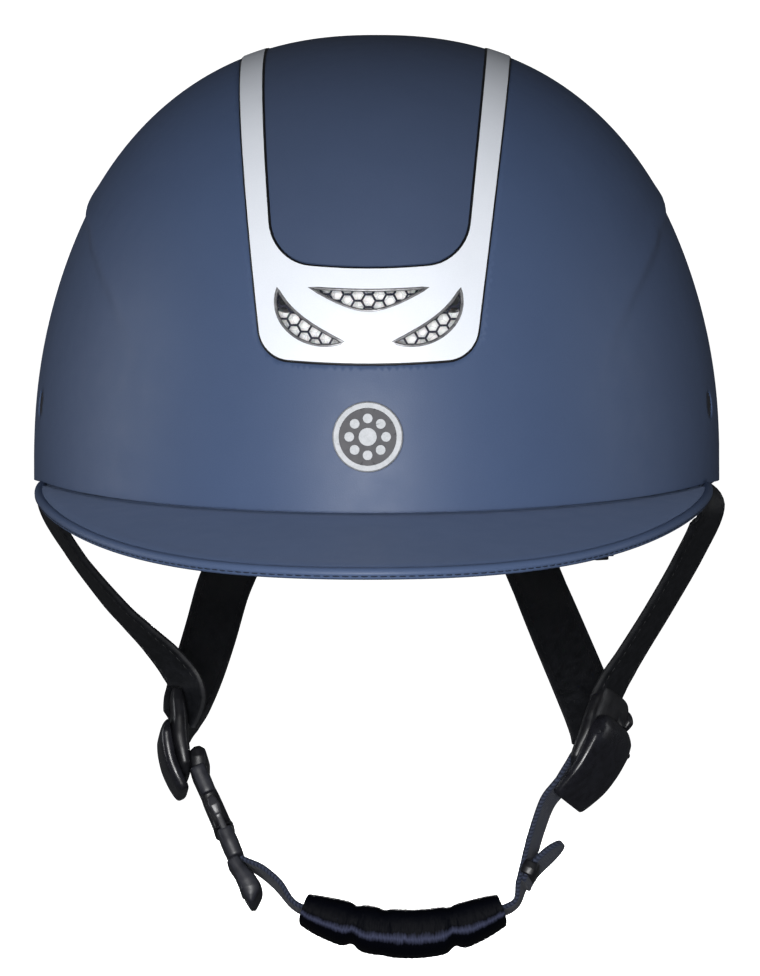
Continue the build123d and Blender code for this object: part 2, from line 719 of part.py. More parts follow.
rear_right = ribbon(
    [
        nape_station(-1, 6.0),
        nape_station(-1, -10.0),
        nape_station(-1, -22.0),
        ((-43.6, 109.0, -28.5), (1.0, 0.45, 0.0)),
        ((-45.6, 92.0, -34.0), (0.9, 0.42, 0.0)),
        ((-47.8, 74.0, -41.0), (0.85, 0.5, 0.1)),
        ((-51.0, 48.0, -51.0), (0.7, 0.7, 0.1)),
        ((-55.0, 22.0, -61.0), (0.35, 0.9, 0.0)),
        (strap_end(right_frame, -3.1, 1.6, 13.5), right_rearward),
        (strap_end(right_frame, -3.1, 0.8, 9.6), right_rearward),
        (strap_end(right_frame, -1.3, 0.6, 4.4), right_rearward),
    ],
    STRAP_WIDTH,
    STRAP_THICK,
)
rear_left = ribbon(
    [
        nape_station(1, 6.0),
        nape_station(1, -10.0),
        nape_station(1, -22.0),
        ((43.6, 109.0, -28.5), (1.0, -0.45, 0.0)),
        ((46.0, 92.0, -34.0), (0.9, -0.42, 0.0)),
        ((49.0, 74.0, -41.0), (0.85, -0.5, 0.1)),
        ((54.3, 48.0, -52.0), (0.7, -0.7, 0.1)),
        ((61.4, 22.0, -62.0), (0.25, -0.95, 0.1)),
        (strap_end(left_frame, -3.1, -1.6, 13.5), left_across),
        (strap_end(left_frame, -3.1, -0.8, 9.6), left_across),
        (strap_end(left_frame, -1.3, -0.6, 4.4), left_across),
    ],
    STRAP_WIDTH,
    STRAP_THICK,
)
save(drill(front_right, rivet_places[0]), "front_strap_right")
save(drill(rear_right, rivet_places[1]), "rear_strap_right")
save(drill(front_left, rivet_places[2]), "front_strap_left")
save(drill(rear_left, rivet_places[3]), "rear_strap_left")

# ==================================================================== buckle
BUCKLE_TOP = (-51.9, -12.2)
BUCKLE_DIRECTION = (0.405, -0.914)
SOCKET_LENGTH = 19.5
BUCKLE_HALF = 12.5
BUCKLE_THICK = 6.0
CAVITY_THICK = 3.4
CAVITY_SIDE = 10.6
WINDOW_START = 8.0
WINDOW_END = 16.2
PLUG_LENGTH = 9.0

buckle_down = Vector(1, 0, 0) * BUCKLE_DIRECTION[0] + UP * BUCKLE_DIRECTION[1]
buckle_out = Vector(1, 0, 0) * BUCKLE_DIRECTION[1] - UP * BUCKLE_DIRECTION[0]
buckle_frame = Plane(origin=chin(*BUCKLE_TOP), x_dir=buckle_out, z_dir=buckle_down)


def slab(start, end, thick, half, mode=Mode.ADD, out=0.0, aside=0.0):
    """Block between two distances along the buckle's axis."""
    with Locations((out, aside, (start + end) / 2)):
        Box(thick, 2 * half, end - start, mode=mode)


with BuildPart(buckle_frame) as buckle_socket:
    slab(0.0, SOCKET_LENGTH, BUCKLE_THICK, BUCKLE_HALF)
    slab(-4.2, 0.0, 1.8, BUCKLE_HALF - 1.5, out=-1.3)
    slab(-2.7, -0.3, 8.0, BUCKLE_HALF - 4.0, Mode.SUBTRACT)
    slab(3.0, SOCKET_LENGTH + 1, CAVITY_THICK, CAVITY_SIDE, Mode.SUBTRACT)
    slab(WINDOW_START, WINDOW_END, CAVITY_THICK, BUCKLE_HALF + 2, Mode.SUBTRACT)
    slab(14.5, SOCKET_LENGTH + 1, 12.0, 5.5, Mode.SUBTRACT)
save(buckle_socket.part, "buckle_socket")

PLUG_START = SOCKET_LENGTH + 0.4
with BuildPart(buckle_frame) as buckle_plug:
    slab(PLUG_START, PLUG_START + PLUG_LENGTH, BUCKLE_THICK, BUCKLE_HALF)
    slab(4.0, PLUG_START, 2.6, 2.6)
    slab(PLUG_START + 2.2, PLUG_START + 4.4, 12.0, BUCKLE_HALF - 3.5, Mode.SUBTRACT)
    slab(PLUG_START + 6.0, PLUG_START + 7.8, 12.0, BUCKLE_HALF - 3.5, Mode.SUBTRACT)
    for arm_side in (-1, 1):
        slab(PLUG_START - 1, PLUG_START + 2.0, 4.0, 1.6, Mode.SUBTRACT, 0.0, arm_side * 6.9)
    with BuildSketch(Plane(origin=buckle_frame.origin, x_dir=buckle_out, z_dir=-buckle_frame.y_dir)):
        Polygon((0.6, 28.0), (3.0, 28.0), (0.2, 41.8), (-3.6, 41.2), (-1.4, 33.0), align=None)
    extrude(amount=BUCKLE_HALF - 2, both=True)
    slab(23.0, 30.0, 3.0, 8.2, Mode.SUBTRACT, out=-0.7)
save(buckle_plug.part, "buckle_plug")

PRONG_ROOT = PLUG_START + 1.6
for prong_name, prong_side in (("front", -1), ("rear", 1)):
    with BuildPart() as prong:
        with BuildSketch(Plane(origin=buckle_frame.origin, x_dir=buckle_frame.y_dir, z_dir=buckle_out)):
            Polygon(
                (prong_side * 5.6, PRONG_ROOT),
                (prong_side * 8.2, PRONG_ROOT),
                (prong_side * 9.0, WINDOW_END - 0.4),
                (prong_side * (BUCKLE_HALF - 0.2), WINDOW_END - 0.8),
                (prong_side * BUCKLE_HALF, WINDOW_START + 4.0),
                (prong_side * 9.6, WINDOW_START + 0.6),
                (prong_side * 7.4, WINDOW_START - 1.6),
                (prong_side * 6.2, WINDOW_START),
                align=None,
            )
        extrude(amount=1.4, both=True)
    save(prong.part, f"buckle_prong_{prong_name}")

# =============================================================== chin webbing
SAG_CENTRE = (8.0, 21.0)
SAG_RADIUS = 79.0


def sag(angle):
    """Point on the arc in which the chin pad hangs."""
    swing = radians(angle)
    return chin(SAG_CENTRE[0] + SAG_RADIUS * sin(swing), SAG_CENTRE[1] - SAG_RADIUS * cos(swing))


socket_loop = ribbon(
    [
        (strap_end(right_frame, 0.8, 0.0, -5.2), right_across),
        (strap_end(right_frame, -2.2, 0.0, -6.9), right_across),
        (strap_end(buckle_frame, 0.5, 0.0, -3.3), ACROSS),
        (strap_end(buckle_frame, 0.5, 0.0, -1.6), ACROSS),
    ],
    WEB_WIDTH - 1.0,
    WEB_THICK - 0.3,
)
save(socket_loop, "socket_strap")

chin_webbing_stations = [
    (strap_end(buckle_frame, -0.2, 0.0, 24.0), ACROSS),
    (strap_end(buckle_frame, -1.0, 0.0, 28.8), ACROSS),
    (chin(-33.4, -41.2), ACROSS),
    (chin(-28.2, -45.6), ACROSS),
]
chin_webbing_stations += [(sag(angle), ACROSS) for angle in (-23.4, -18, -12, -6, 0, 6, 12, 18, 24)]
chin_webbing_stations += [
    (chin(43.4, -45.4), ACROSS),
    (chin(45.4, -39.5), ACROSS),
    (chin(48.4, -33.0), ACROSS),
    (chin(51.4, -26.4), ACROSS),
    (chin(55.0, -20.3), ACROSS),
    (strap_end(left_frame, -3.7, 0.0, -13.4), left_across),
    (strap_end(left_frame, -3.3, 0.0, -8.8), left_across),
    (strap_end(left_frame, 0.3, 0.0, -5.4), left_across),
]
chin_webbing = ribbon(chin_webbing_stations, WEB_WIDTH, WEB_THICK, 2)
save(chin_webbing, "chin_webbing")

CHIN_PLANE = Plane(origin=(0, 0, CHIN_PLANE_Z), x_dir=(1, 0, 0), z_dir=ACROSS)
KEEPER_AT = (46.35, -40.0)
KEEPER_AXIS = Vector(1, 0, 0) * 0.42 + UP * 0.907
KEEPER_OUT = Vector(1, 0, 0) * 0.907 - UP * 0.42
keeper_frame = Plane(origin=chin(*KEEPER_AT), x_dir=KEEPER_OUT, z_dir=KEEPER_AXIS)
with BuildPart(keeper_frame) as keeper_ring:
    Box(7.0, WEB_WIDTH + 4.0, 5.0)
    Box(4.8, WEB_WIDTH + 1.4, 8.0, mode=Mode.SUBTRACT)
save(keeper_ring.part, "keeper_ring")

with BuildPart() as webbing_tail:
    with BuildSketch(CHIN_PLANE):
        with BuildLine():
            Spline((45.6, -44.4), (47.5, -40.2), (50.2, -36.6), (53.6, -33.0), (55.2, -33.6), (54.4, -36.0), (52.0, -38.4))
        trace(line_width=WEB_THICK - 0.3)
    extrude(amount=WEB_WIDTH / 2, both=True)
save(webbing_tail.part, "webbing_tail")

# ================================================================== chin pad
PAD_HALF_ANGLE = 21.2
PAD_WIDTH = 24.0
PAD_DEPTH = 9.0
SLEEVE_WALL = 1.0
PAD_CHANNEL = 3.6
with BuildPart() as chin_sleeve:
    with BuildLine() as pad_path:
        ThreePointArc(sag(-PAD_HALF_ANGLE), sag(0), sag(PAD_HALF_ANGLE))
    with BuildSketch(Plane(origin=sag(-PAD_HALF_ANGLE), x_dir=ACROSS, z_dir=pad_path.line % 0)):
        RectangleRounded(PAD_WIDTH, PAD_DEPTH, PAD_DEPTH / 2 - 0.4)
        RectangleRounded(
            PAD_WIDTH - 2 * SLEEVE_WALL, PAD_DEPTH - 2 * SLEEVE_WALL, PAD_DEPTH / 2 - 0.4 - SLEEVE_WALL, mode=Mode.SUBTRACT
        )
    sweep(path=pad_path.line)
save(chin_sleeve.part, "chin_pad_sleeve")

with BuildPart() as chin_foam:
    with BuildLine() as foam_path:
        ThreePointArc(sag(-PAD_HALF_ANGLE + 1), sag(0), sag(PAD_HALF_ANGLE - 1))
    with BuildSketch(Plane(origin=sag(-PAD_HALF_ANGLE + 1), x_dir=ACROSS, z_dir=foam_path.line % 0)):
        RectangleRounded(PAD_WIDTH - 2 * SLEEVE_WALL - 0.4, PAD_DEPTH - 2 * SLEEVE_WALL - 0.4, 2.6)
        Rectangle(WEB_WIDTH + 2.0, PAD_CHANNEL, mode=Mode.SUBTRACT)
    sweep(path=foam_path.line)
save(chin_foam.part, "chin_pad_foam")

# ============================================================ nape fit system
NAPE_Y = BELT_CENTRE_Y + BELT_RADIUS
PITCH = 2 * pi * PINION_PITCH_R / PINION_TEETH


def arc_band(inner, outer, start, end, low_z, high_z):
    """Curved wall about the fit system's centre; angles run from +Y towards +X."""
    reach = 3 * outer
    middle = radians((start + end) / 2)
    with BuildPart() as band:
        with BuildSketch(Plane.XY.offset(low_z)):
            Circle(outer)
            Circle(inner, mode=Mode.SUBTRACT)
            with BuildLine():
                Polyline(
                    (0, 0),
                    (reach * sin(radians(start)), reach * cos(radians(start))),
                    (reach * sin(middle), reach * cos(middle)),
                    (reach * sin(radians(end)), reach * cos(radians(end))),
                    close=True,
                )
            make_face(mode=Mode.INTERSECT)
        extrude(amount=high_z - low_z)
    return band.part.moved(Location((0, BELT_CENTRE_Y, 0)))


def rack_teeth(points_up):
    """Row of straight flanked teeth along X at the nape, for the pinion."""
    lift = 1 if points_up else -1
    flank = 0.36
    half_pitch_line = (PITCH / 2 - BACKLASH) / 2
    half_tip = half_pitch_line - TOOTH_TIP * flank
    half_root = half_pitch_line + TOOTH_ROOT * flank
    pitch_z = BELT_Z - lift * PINION_PITCH_R
    with BuildPart() as teeth:
        with BuildSketch(Plane.XZ.offset(-NAPE_Y - 4)):
            for index in range(-8, 8):
                centre = (index + 0.5) * PITCH
                with BuildLine():
                    Polyline(
                        (centre - half_root, pitch_z - lift * (TOOTH_ROOT + 0.4)),
                        (centre - half_root, pitch_z - lift * TOOTH_ROOT),
                        (centre - half_tip, pitch_z + lift * TOOTH_TIP),
                        (centre + half_tip, pitch_z + lift * TOOTH_TIP),
                        (centre + half_root, pitch_z - lift * TOOTH_ROOT),
                        (centre + half_root, pitch_z - lift * (TOOTH_ROOT + 0.4)),
                        close=True,
                    )
                make_face()
        extrude(amount=12.0)
    return teeth.part


def fit_belt(side, inner_r, rack_low):
    """One toothed belt: long band to the temple, slotted tongue at the nape."""
    outer_r = inner_r + BELT_THICK
    low = BELT_Z - TONGUE_HEIGHT / 2
    high = BELT_Z + TONGUE_HEIGHT / 2
    short_end = -side * (SLOT_SHORT + 3.0)
    long_end = side * (SLOT_LONG + 4.0)
    slot_angles = sorted((degrees(-side * SLOT_SHORT / inner_r), degrees(side * SLOT_LONG / inner_r)))
    tongue_angles = sorted((degrees(short_end / inner_r), degrees(long_end / inner_r)))
    band_angles = sorted((degrees(long_end / inner_r) - side, side * BELT_END_ANGLE))
    rack_side = -1 if rack_low else 1
    rack_z = BELT_Z + rack_side * (PINION_PITCH_R + TOOTH_ROOT)
    free_z = BELT_Z - rack_side * (PINION_PITCH_R + 1.4)
    band_half = BELT_HEIGHT / 2
    tongue = arc_band(inner_r, outer_r, *tongue_angles, low, high)
    slot = arc_band(inner_r - 1, outer_r + 1, *slot_angles, min(rack_z, free_z), max(rack_z, free_z))
    long_band = arc_band(inner_r, outer_r, *band_angles, BELT_Z - band_half, BELT_Z + band_half)
    tooth_ring = arc_band(inner_r, outer_r, *slot_angles, low, high)
    teeth = rack_teeth(rack_low)
    with BuildPart() as toothed:
        add(tooth_ring)
        add(teeth, mode=Mode.INTERSECT)
    with BuildPart() as belt:
        add(tongue)
        add(slot, mode=Mode.SUBTRACT)
        add(long_band)
        add(toothed.part)
    return belt.part


inner_belt_r = BELT_RADIUS - BELT_THICK / 2
outer_belt_r = inner_belt_r + BELT_THICK + BELT_LAYER_GAP
save(fit_belt(1, inner_belt_r, True), "fit_belt_left")
save(fit_belt(-1, outer_belt_r, False), "fit_belt_right")

cradle_inner_r = inner_belt_r - BELT_LAYER_GAP - CRADLE_WALL
cover_inner_r = outer_belt_r + BELT_THICK + BELT_LAYER_GAP
half_angle = degrees(CRADLE_HALF / BELT_RADIUS)
cradle_low = BELT_Z - TONGUE_HEIGHT / 2 - 0.5
cradle_high = BELT_Z + TONGUE_HEIGHT / 2 + 0.5
plate_low = cradle_low - CRADLE_WALL
plate_high = cradle_high + CRADLE_WALL
cradle_plate = arc_band(cradle_inner_r, cradle_inner_r + CRADLE_WALL, -half_angle, half_angle, plate_low, plate_high)
cradle_floor = arc_band(cradle_inner_r, cover_inner_r, -half_angle, half_angle, plate_low, cradle_low)
cradle_roof = arc_band(cradle_inner_r, cover_inner_r, -half_angle, half_angle, cradle_high, plate_high)
with BuildPart() as nape_cradle:
    add(cradle_plate)
    add(cradle_floor)
    add(cradle_roof)
    with BuildSketch(Plane(origin=(0, NAPE_Y - 10, BELT_Z), z_dir=(0, 1, 0))):
        Circle(PINION_BORE + RUNNING_GAP)
    extrude(amount=10.0, mode=Mode.SUBTRACT)
save(nape_cradle.part, "nape_cradle")

cover_plate = arc_band(cover_inner_r + 0.05, cover_inner_r + CRADLE_WALL, -half_angle, half_angle, plate_low, plate_high)
with BuildPart() as dial_cover:
    add(cover_plate)
    with BuildSketch(Plane(origin=(0, NAPE_Y - 5, BELT_Z), z_dir=(0, 1, 0))):
        Circle(DIAL_SHAFT_R + RUNNING_GAP)
    extrude(amount=20.0, mode=Mode.SUBTRACT)
save(dial_cover.part, "dial_cover")

gear_start_y = BELT_CENTRE_Y + inner_belt_r - 0.1
gear_end_y = BELT_CENTRE_Y + cover_inner_r - 0.15
knob_start_y = BELT_CENTRE_Y + cover_inner_r + CRADLE_WALL + 0.4
with BuildPart() as dial_pinion:
    with BuildSketch(Plane(origin=(0, gear_start_y, BELT_Z), x_dir=(1, 0, 0), z_dir=(0, 1, 0))) as gear_face:
        Circle(PINION_PITCH_R - TOOTH_ROOT)
        with PolarLocations(0, PINION_TEETH, start_angle=90):
            Polygon(
                (PINION_PITCH_R - TOOTH_ROOT - 0.4, -0.72),
                (PINION_PITCH_R, -(PITCH / 2 - BACKLASH) / 2),
                (PINION_PITCH_R + TOOTH_TIP, -0.26),
                (PINION_PITCH_R + TOOTH_TIP, 0.26),
                (PINION_PITCH_R, (PITCH / 2 - BACKLASH) / 2),
                (PINION_PITCH_R - TOOTH_ROOT - 0.4, 0.72),
                align=None,
            )
    extrude(amount=gear_end_y - gear_start_y)
    with BuildSketch(Plane(origin=(0, gear_start_y - 1.9, BELT_Z), z_dir=(0, 1, 0))):
        Circle(PINION_BORE)
    extrude(amount=4.0)
    with BuildSketch(Plane(origin=(0, gear_end_y - 0.5, BELT_Z), z_dir=(0, 1, 0))):
        Circle(DIAL_SHAFT_R)
    extrude(amount=knob_start_y + 4.0 - gear_end_y + 0.5)
save(dial_pinion.part, "dial_pinion")

with BuildPart() as dial_knob:
    with BuildSketch(Plane(origin=(0, knob_start_y, BELT_Z), z_dir=(0, 1, 0))):
        Circle(KNOB_RADIUS)
        with PolarLocations(KNOB_RADIUS + 0.5, 14):
            Circle(1.3, mode=Mode.SUBTRACT)
    extrude(amount=KNOB_DEPTH)
    chamfer(dial_knob.edges().group_by(Axis.Y)[-1], length=0.7)
    with BuildSketch(Plane(origin=(0, knob_start_y, BELT_Z), z_dir=(0, 1, 0))):
        Circle(DIAL_SHAFT_R + RUNNING_GAP)
    extrude(amount=4.2, mode=Mode.SUBTRACT)
save(dial_knob.part, "dial_knob")

nape_pad = arc_band(cradle_inner_r - 3.6, cradle_inner_r - 0.3, -half_angle, half_angle, cradle_low, cradle_high)
save(nape_pad, "nape_pad")

HANGER_X = 21.0
for side_name, side in (("left", 1), ("right", -1)):
    cradle_y = BELT_CENTRE_Y + ((cover_inner_r + CRADLE_WALL + 1.4) ** 2 - HANGER_X**2) ** 0.5
    wall_y = WIDEST_Y + CAVITY_BACK * (1 - (HANGER_X / CAVITY_HALF) ** 2) ** 0.5 - 1.1
    hanger = ribbon(
        [
            ((side * HANGER_X, cradle_y, cradle_low + 4), (1, -side * 0.27, 0)),
            ((side * HANGER_X, cradle_y, cradle_high - 2), (1, -side * 0.27, 0)),
            ((side * HANGER_X, wall_y - 1.5, 2.0), (1, -side * 0.3, 0)),
            ((side * HANGER_X, wall_y - 0.6, 16.0), (1, -side * 0.3, 0)),
        ],
        7.0,
        1.2,
    )
    save(hanger, f"cradle_hanger_{side_name}")

for side_name, side, belt_r in (("left", 1, inner_belt_r), ("right", -1, outer_belt_r)):
    heading = radians(GUIDE_ANGLE)
    guide_out = Vector(side * sin(heading), cos(heading), 0)
    guide_frame = Plane(origin=(0, BELT_CENTRE_Y, BELT_Z), x_dir=guide_out, z_dir=(0, 0, 1))
    with BuildPart(guide_frame) as belt_guide:
        with Locations((belt_r + BELT_THICK / 2, 0, 0)):
            Box(4.4, 6.0, BELT_HEIGHT + 3.6)
            Box(BELT_THICK + 1.1, 8.0, BELT_HEIGHT + 0.9, mode=Mode.SUBTRACT)
        with Locations((GUIDE_STRUT_R, 0, BELT_HEIGHT / 2 + 0.6)):
            Box(1.2, 6.0, 34.0, align=(Align.CENTER, Align.CENTER, Align.MIN))
    save(belt_guide.part, f"belt_guide_{side_name}")
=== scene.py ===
"""Looks for the riding helmet: shell, trim, brim, liner, pads and chin harness."""
import json
import math

import bmesh
import bpy
import numpy as np
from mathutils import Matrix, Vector

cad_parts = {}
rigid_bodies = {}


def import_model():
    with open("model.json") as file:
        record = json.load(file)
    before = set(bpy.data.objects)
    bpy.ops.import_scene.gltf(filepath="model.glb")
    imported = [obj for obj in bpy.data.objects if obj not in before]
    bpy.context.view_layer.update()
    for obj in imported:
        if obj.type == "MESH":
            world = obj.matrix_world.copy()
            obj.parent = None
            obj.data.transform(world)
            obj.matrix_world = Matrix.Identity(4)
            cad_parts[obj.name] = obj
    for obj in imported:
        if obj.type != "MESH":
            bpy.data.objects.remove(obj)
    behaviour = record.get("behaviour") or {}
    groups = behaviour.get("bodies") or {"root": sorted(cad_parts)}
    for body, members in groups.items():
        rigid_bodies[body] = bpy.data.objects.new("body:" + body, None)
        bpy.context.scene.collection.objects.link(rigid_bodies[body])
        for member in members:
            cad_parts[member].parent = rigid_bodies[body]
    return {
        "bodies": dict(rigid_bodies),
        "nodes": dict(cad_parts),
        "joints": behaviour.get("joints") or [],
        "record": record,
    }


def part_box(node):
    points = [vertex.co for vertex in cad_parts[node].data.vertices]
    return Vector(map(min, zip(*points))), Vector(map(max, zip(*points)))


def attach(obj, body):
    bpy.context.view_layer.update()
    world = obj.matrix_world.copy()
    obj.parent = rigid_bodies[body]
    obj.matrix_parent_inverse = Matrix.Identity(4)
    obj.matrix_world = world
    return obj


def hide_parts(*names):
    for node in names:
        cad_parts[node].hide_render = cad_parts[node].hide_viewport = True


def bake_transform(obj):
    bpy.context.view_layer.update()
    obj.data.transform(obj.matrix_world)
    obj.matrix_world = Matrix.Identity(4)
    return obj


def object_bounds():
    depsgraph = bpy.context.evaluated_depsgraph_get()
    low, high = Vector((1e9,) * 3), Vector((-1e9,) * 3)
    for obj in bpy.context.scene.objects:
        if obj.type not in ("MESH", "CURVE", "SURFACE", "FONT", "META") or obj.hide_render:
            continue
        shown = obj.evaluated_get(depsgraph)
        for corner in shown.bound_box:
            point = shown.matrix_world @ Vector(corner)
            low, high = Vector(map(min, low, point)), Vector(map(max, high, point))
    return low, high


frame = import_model()
cad_low, cad_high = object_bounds()
NODES = frame["nodes"]
MM = 0.001

# ------------------------------------------------------------------ shell form
HALF_WIDTH, FRONT_REACH, BACK_REACH, CROWN = 100.0, 138.0, 126.0, 128.0
WIDEST_Y, ROUNDNESS = 8.0, 2.3
BADGE_Z = 21.4


def shell_share(x, y, z, grow=0.0):
    """1 on the shell's outer form, less inside it."""
    reach = (FRONT_REACH if y < WIDEST_Y else BACK_REACH) + grow
    plan = math.hypot(x / (HALF_WIDTH + grow), (y - WIDEST_Y) / reach)
    return (plan**ROUNDNESS + (max(z, 0.0) / (CROWN + grow)) ** ROUNDNESS) ** (1 / ROUNDNESS)


def wall_x(y, z, grow):
    rise = max(z, 0.0) / (CROWN + grow)
    reach = (FRONT_REACH if y < WIDEST_Y else BACK_REACH) + grow
    level = (1 - rise**ROUNDNESS) ** (2 / ROUNDNESS)
    return (HALF_WIDTH + grow) * math.sqrt(max(level - ((y - WIDEST_Y) / reach) ** 2, 0))


def wall_back_y(x, z, grow):
    rise = max(z, 0.0) / (CROWN + grow)
    level = (1 - rise**ROUNDNESS) ** (2 / ROUNDNESS)
    return WIDEST_Y + (BACK_REACH + grow) * math.sqrt(max(level - (x / (HALF_WIDTH + grow)) ** 2, 0))


def dome_out(place, half, reach, tall):
    """Outward direction of a dome of that half width, reach and height, at a point on it."""
    rise = (max(place.z, 0.0) / tall) ** (ROUNDNESS - 1) / tall
    return Vector((place.x / half**2, (place.y - WIDEST_Y) / reach**2, rise)).normalized()


def smooth(low, high, value):
    share = min(max((value - low) / (high - low), 0.0), 1.0)
    return share * share * (3 - 2 * share)


def squared(value, power):
    """Sine or cosine of a rounded rectangle: the lower the power, the squarer it is."""
    return math.copysign(abs(value) ** power, value)


def bell(offset, width):
    return math.exp(-((offset / width) ** 2))


def tube_faces(rows, around):
    """Faces of a tube of rows + 1 rings, without its ends."""
    faces = []
    for row in range(rows):
        for spot in range(around):
            a, b = row * around + spot, row * around + (spot + 1) % around
            faces.append((a, b, b + around, a + around))
    return faces


def end_caps(rows, around):
    last = rows * around
    return [tuple(reversed(range(around))), tuple(range(last, last + around))]


# ------------------------------------------------------------------- materials
class Finish:
    """A procedural material built around one Principled shader."""

    def __init__(self, name, color, roughness, metallic=0.0, **sockets):
        self.material = bpy.data.materials.new(name)
        self.material.use_nodes = True
        self.tree = self.material.node_tree
        self.shader = self.tree.nodes["Principled BSDF"]
        self.shader.inputs["Base Color"].default_value = (*color, 1)
        self.shader.inputs["Roughness"].default_value = roughness
        self.shader.inputs["Metallic"].default_value = metallic
        for key, value in sockets.items():
            self.shader.inputs[key.replace("_", " ")].default_value = value
        self.spot = 0

    def node(self, kind, settings=None, **inputs):
        made = self.tree.nodes.new("ShaderNode" + kind)
        self.spot += 1
        made.location = (-200 * self.spot, -40 * self.spot)
        for key, value in (settings or {}).items():
            setattr(made, key, value)
        for key, value in inputs.items():
            socket = made.inputs[int(key[1:])] if key[0] == "i" and key[1:].isdigit() else made.inputs[key]
            if isinstance(value, bpy.types.NodeSocket):
                self.tree.links.new(value, socket)
            else:
                socket.default_value = value
        return made

    def place(self, source="Object", scale=(1000.0, 1000.0, 1000.0)):
        """Coordinates in millimetres."""
        coords = self.node("TexCoord").outputs[source]
        return self.node("Mapping", {"vector_type": "POINT"}, Vector=coords, Scale=scale).outputs["Vector"]

    def noise(self, where, scale, detail=3.0, roughness=0.55):
        made = self.node("TexNoise", Vector=where, Scale=scale, Detail=detail, Roughness=roughness)
        return made.outputs["Fac"]

    def math(self, operation, first, second=0.0, third=0.0):
        return self.node("Math", {"operation": operation}, i0=first, i1=second, i2=third).outputs[0]

    def remap(self, value, low, high, to_low, to_high):
        made = self.node("MapRange", None, Value=value)
        for key, number in (("From Min", low), ("From Max", high), ("To Min", to_low), ("To Max", to_high)):
            made.inputs[key].default_value = number
        return made.outputs["Result"]

    def tint(self, share, stops):
        ramp = self.node("ValToRGB", None, Fac=share)
        band = ramp.color_ramp
        while len(band.elements) < len(stops):
            band.elements.new(0.5)
        for element, (position, color) in zip(band.elements, stops):
            element.position = position
            element.color = (*color, 1)
        return ramp.outputs["Color"]

    def color(self, share, stops):
        self.tree.links.new(self.tint(share, stops), self.shader.inputs["Base Color"])
        return self

    def rough(self, share, low, high):
        self.tree.links.new(self.remap(share, 0.3, 0.7, low, high), self.shader.inputs["Roughness"])
        return self

    def bump(self, *layers):
        """Each layer is a height, its strength, and its depth in millimetres."""
        normal = None
        for height, strength, depth in layers:
            made = self.node("Bump", None, Height=height, Strength=strength, Distance=depth * MM)
            if normal:
                self.tree.links.new(normal, made.inputs["Normal"])
            normal = made.outputs["Normal"]
        self.tree.links.new(normal, self.shader.inputs["Normal"])
        return self


def navy_paint(name, dark, light, grain=0.55):
    """Soft-touch matte lacquer: fine pebble grain and faint mottling."""
    made = Finish(name, light, 0.5, Specular_IOR_Level=0.3)
    where = made.place()
    mottle = made.noise(where, 0.05, 3.0)
    pebble = made.noise(where, 2.6, 2.0, 0.6)
    speckle = made.noise(where, 6.5, 1.0)
    share = made.math("MULTIPLY_ADD", speckle, 0.75, made.math("MULTIPLY", mottle, 0.25))
    made.color(share, [(0.3, dark), (0.7, light)])
    made.rough(made.noise(where, 0.12, 3.0), 0.48, 0.55)
    made.bump((pebble, grain, 0.05), (speckle, grain * 0.6, 0.02))
    return made.material


def plastic(name, color, lift, roughness, grain=0.4):
    """Moulded nylon: faint orange peel, polished by handling in patches."""
    made = Finish(name, color, roughness, Specular_IOR_Level=0.32)
    where = made.place()
    peel = made.noise(where, 1.4, 3.0)
    spark = made.noise(where, 5.0, 2.0, 0.7)
    made.color(made.noise(where, 0.35, 5.0, 0.65), [(0.35, color), (0.75, lift)])
    made.rough(made.noise(where, 0.25, 4.0), roughness - 0.07, roughness + 0.09)
    made.bump((peel, 0.3, 0.03), (spark, grain, 0.02))
    return made.material


def steel(name, color, roughness):
    made = Finish(name, color, roughness, 0.95)
    where = made.place(scale=(1000.0, 1000.0, 9000.0))
    brushed = made.noise(where, 0.8, 4.0, 0.7)
    made.color(brushed, [(0.3, tuple(c * 0.72 for c in color)), (0.75, color)])
    made.rough(brushed, roughness - 0.08, roughness + 0.1)
    made.bump((brushed, 0.25, 0.01))
    return made.material


def silver_lacquer():
    made = Finish("silver_lacquer", (0.88, 0.91, 0.96), 0.4, 0.12, Coat_Weight=0.2, Coat_Roughness=0.3)
    where = made.place()
    flake = made.node("TexVoronoi", None, Vector=where, Scale=7.0).outputs["Color"]
    sparkle = made.node("SeparateColor", None, Color=flake).outputs[0]
    cloud = made.noise(where, 0.05, 3.0)
    share = made.math("MULTIPLY_ADD", sparkle, 0.3, made.math("MULTIPLY", cloud, 0.7))
    made.color(share, [(0.25, (0.74, 0.775, 0.84)), (0.75, (0.8, 0.835, 0.9))])
    made.rough(sparkle, 0.31, 0.4)
    made.bump((made.noise(where, 0.5, 2.0), 0.08, 0.03), (sparkle, 0.12, 0.008))
    return made.material


def vent_edge_shade():
    """Painted shade: grey along the edges of the vent openings, where they turn in, lighter here and there.
    """
    made = Finish("vent_edge_painted_shade", (0.2, 0.2, 0.21), 0.42, 0.55)
    where = made.place()
    made.color(made.noise(where, 0.6, 5.0, 0.7), [(0.35, (0.13, 0.13, 0.14)), (0.7, (0.3, 0.3, 0.31))])
    made.rough(made.noise(where, 0.9, 3.0), 0.34, 0.5)
    made.bump((made.noise(where, 2.0, 3.0), 0.3, 0.03))
    return made.material


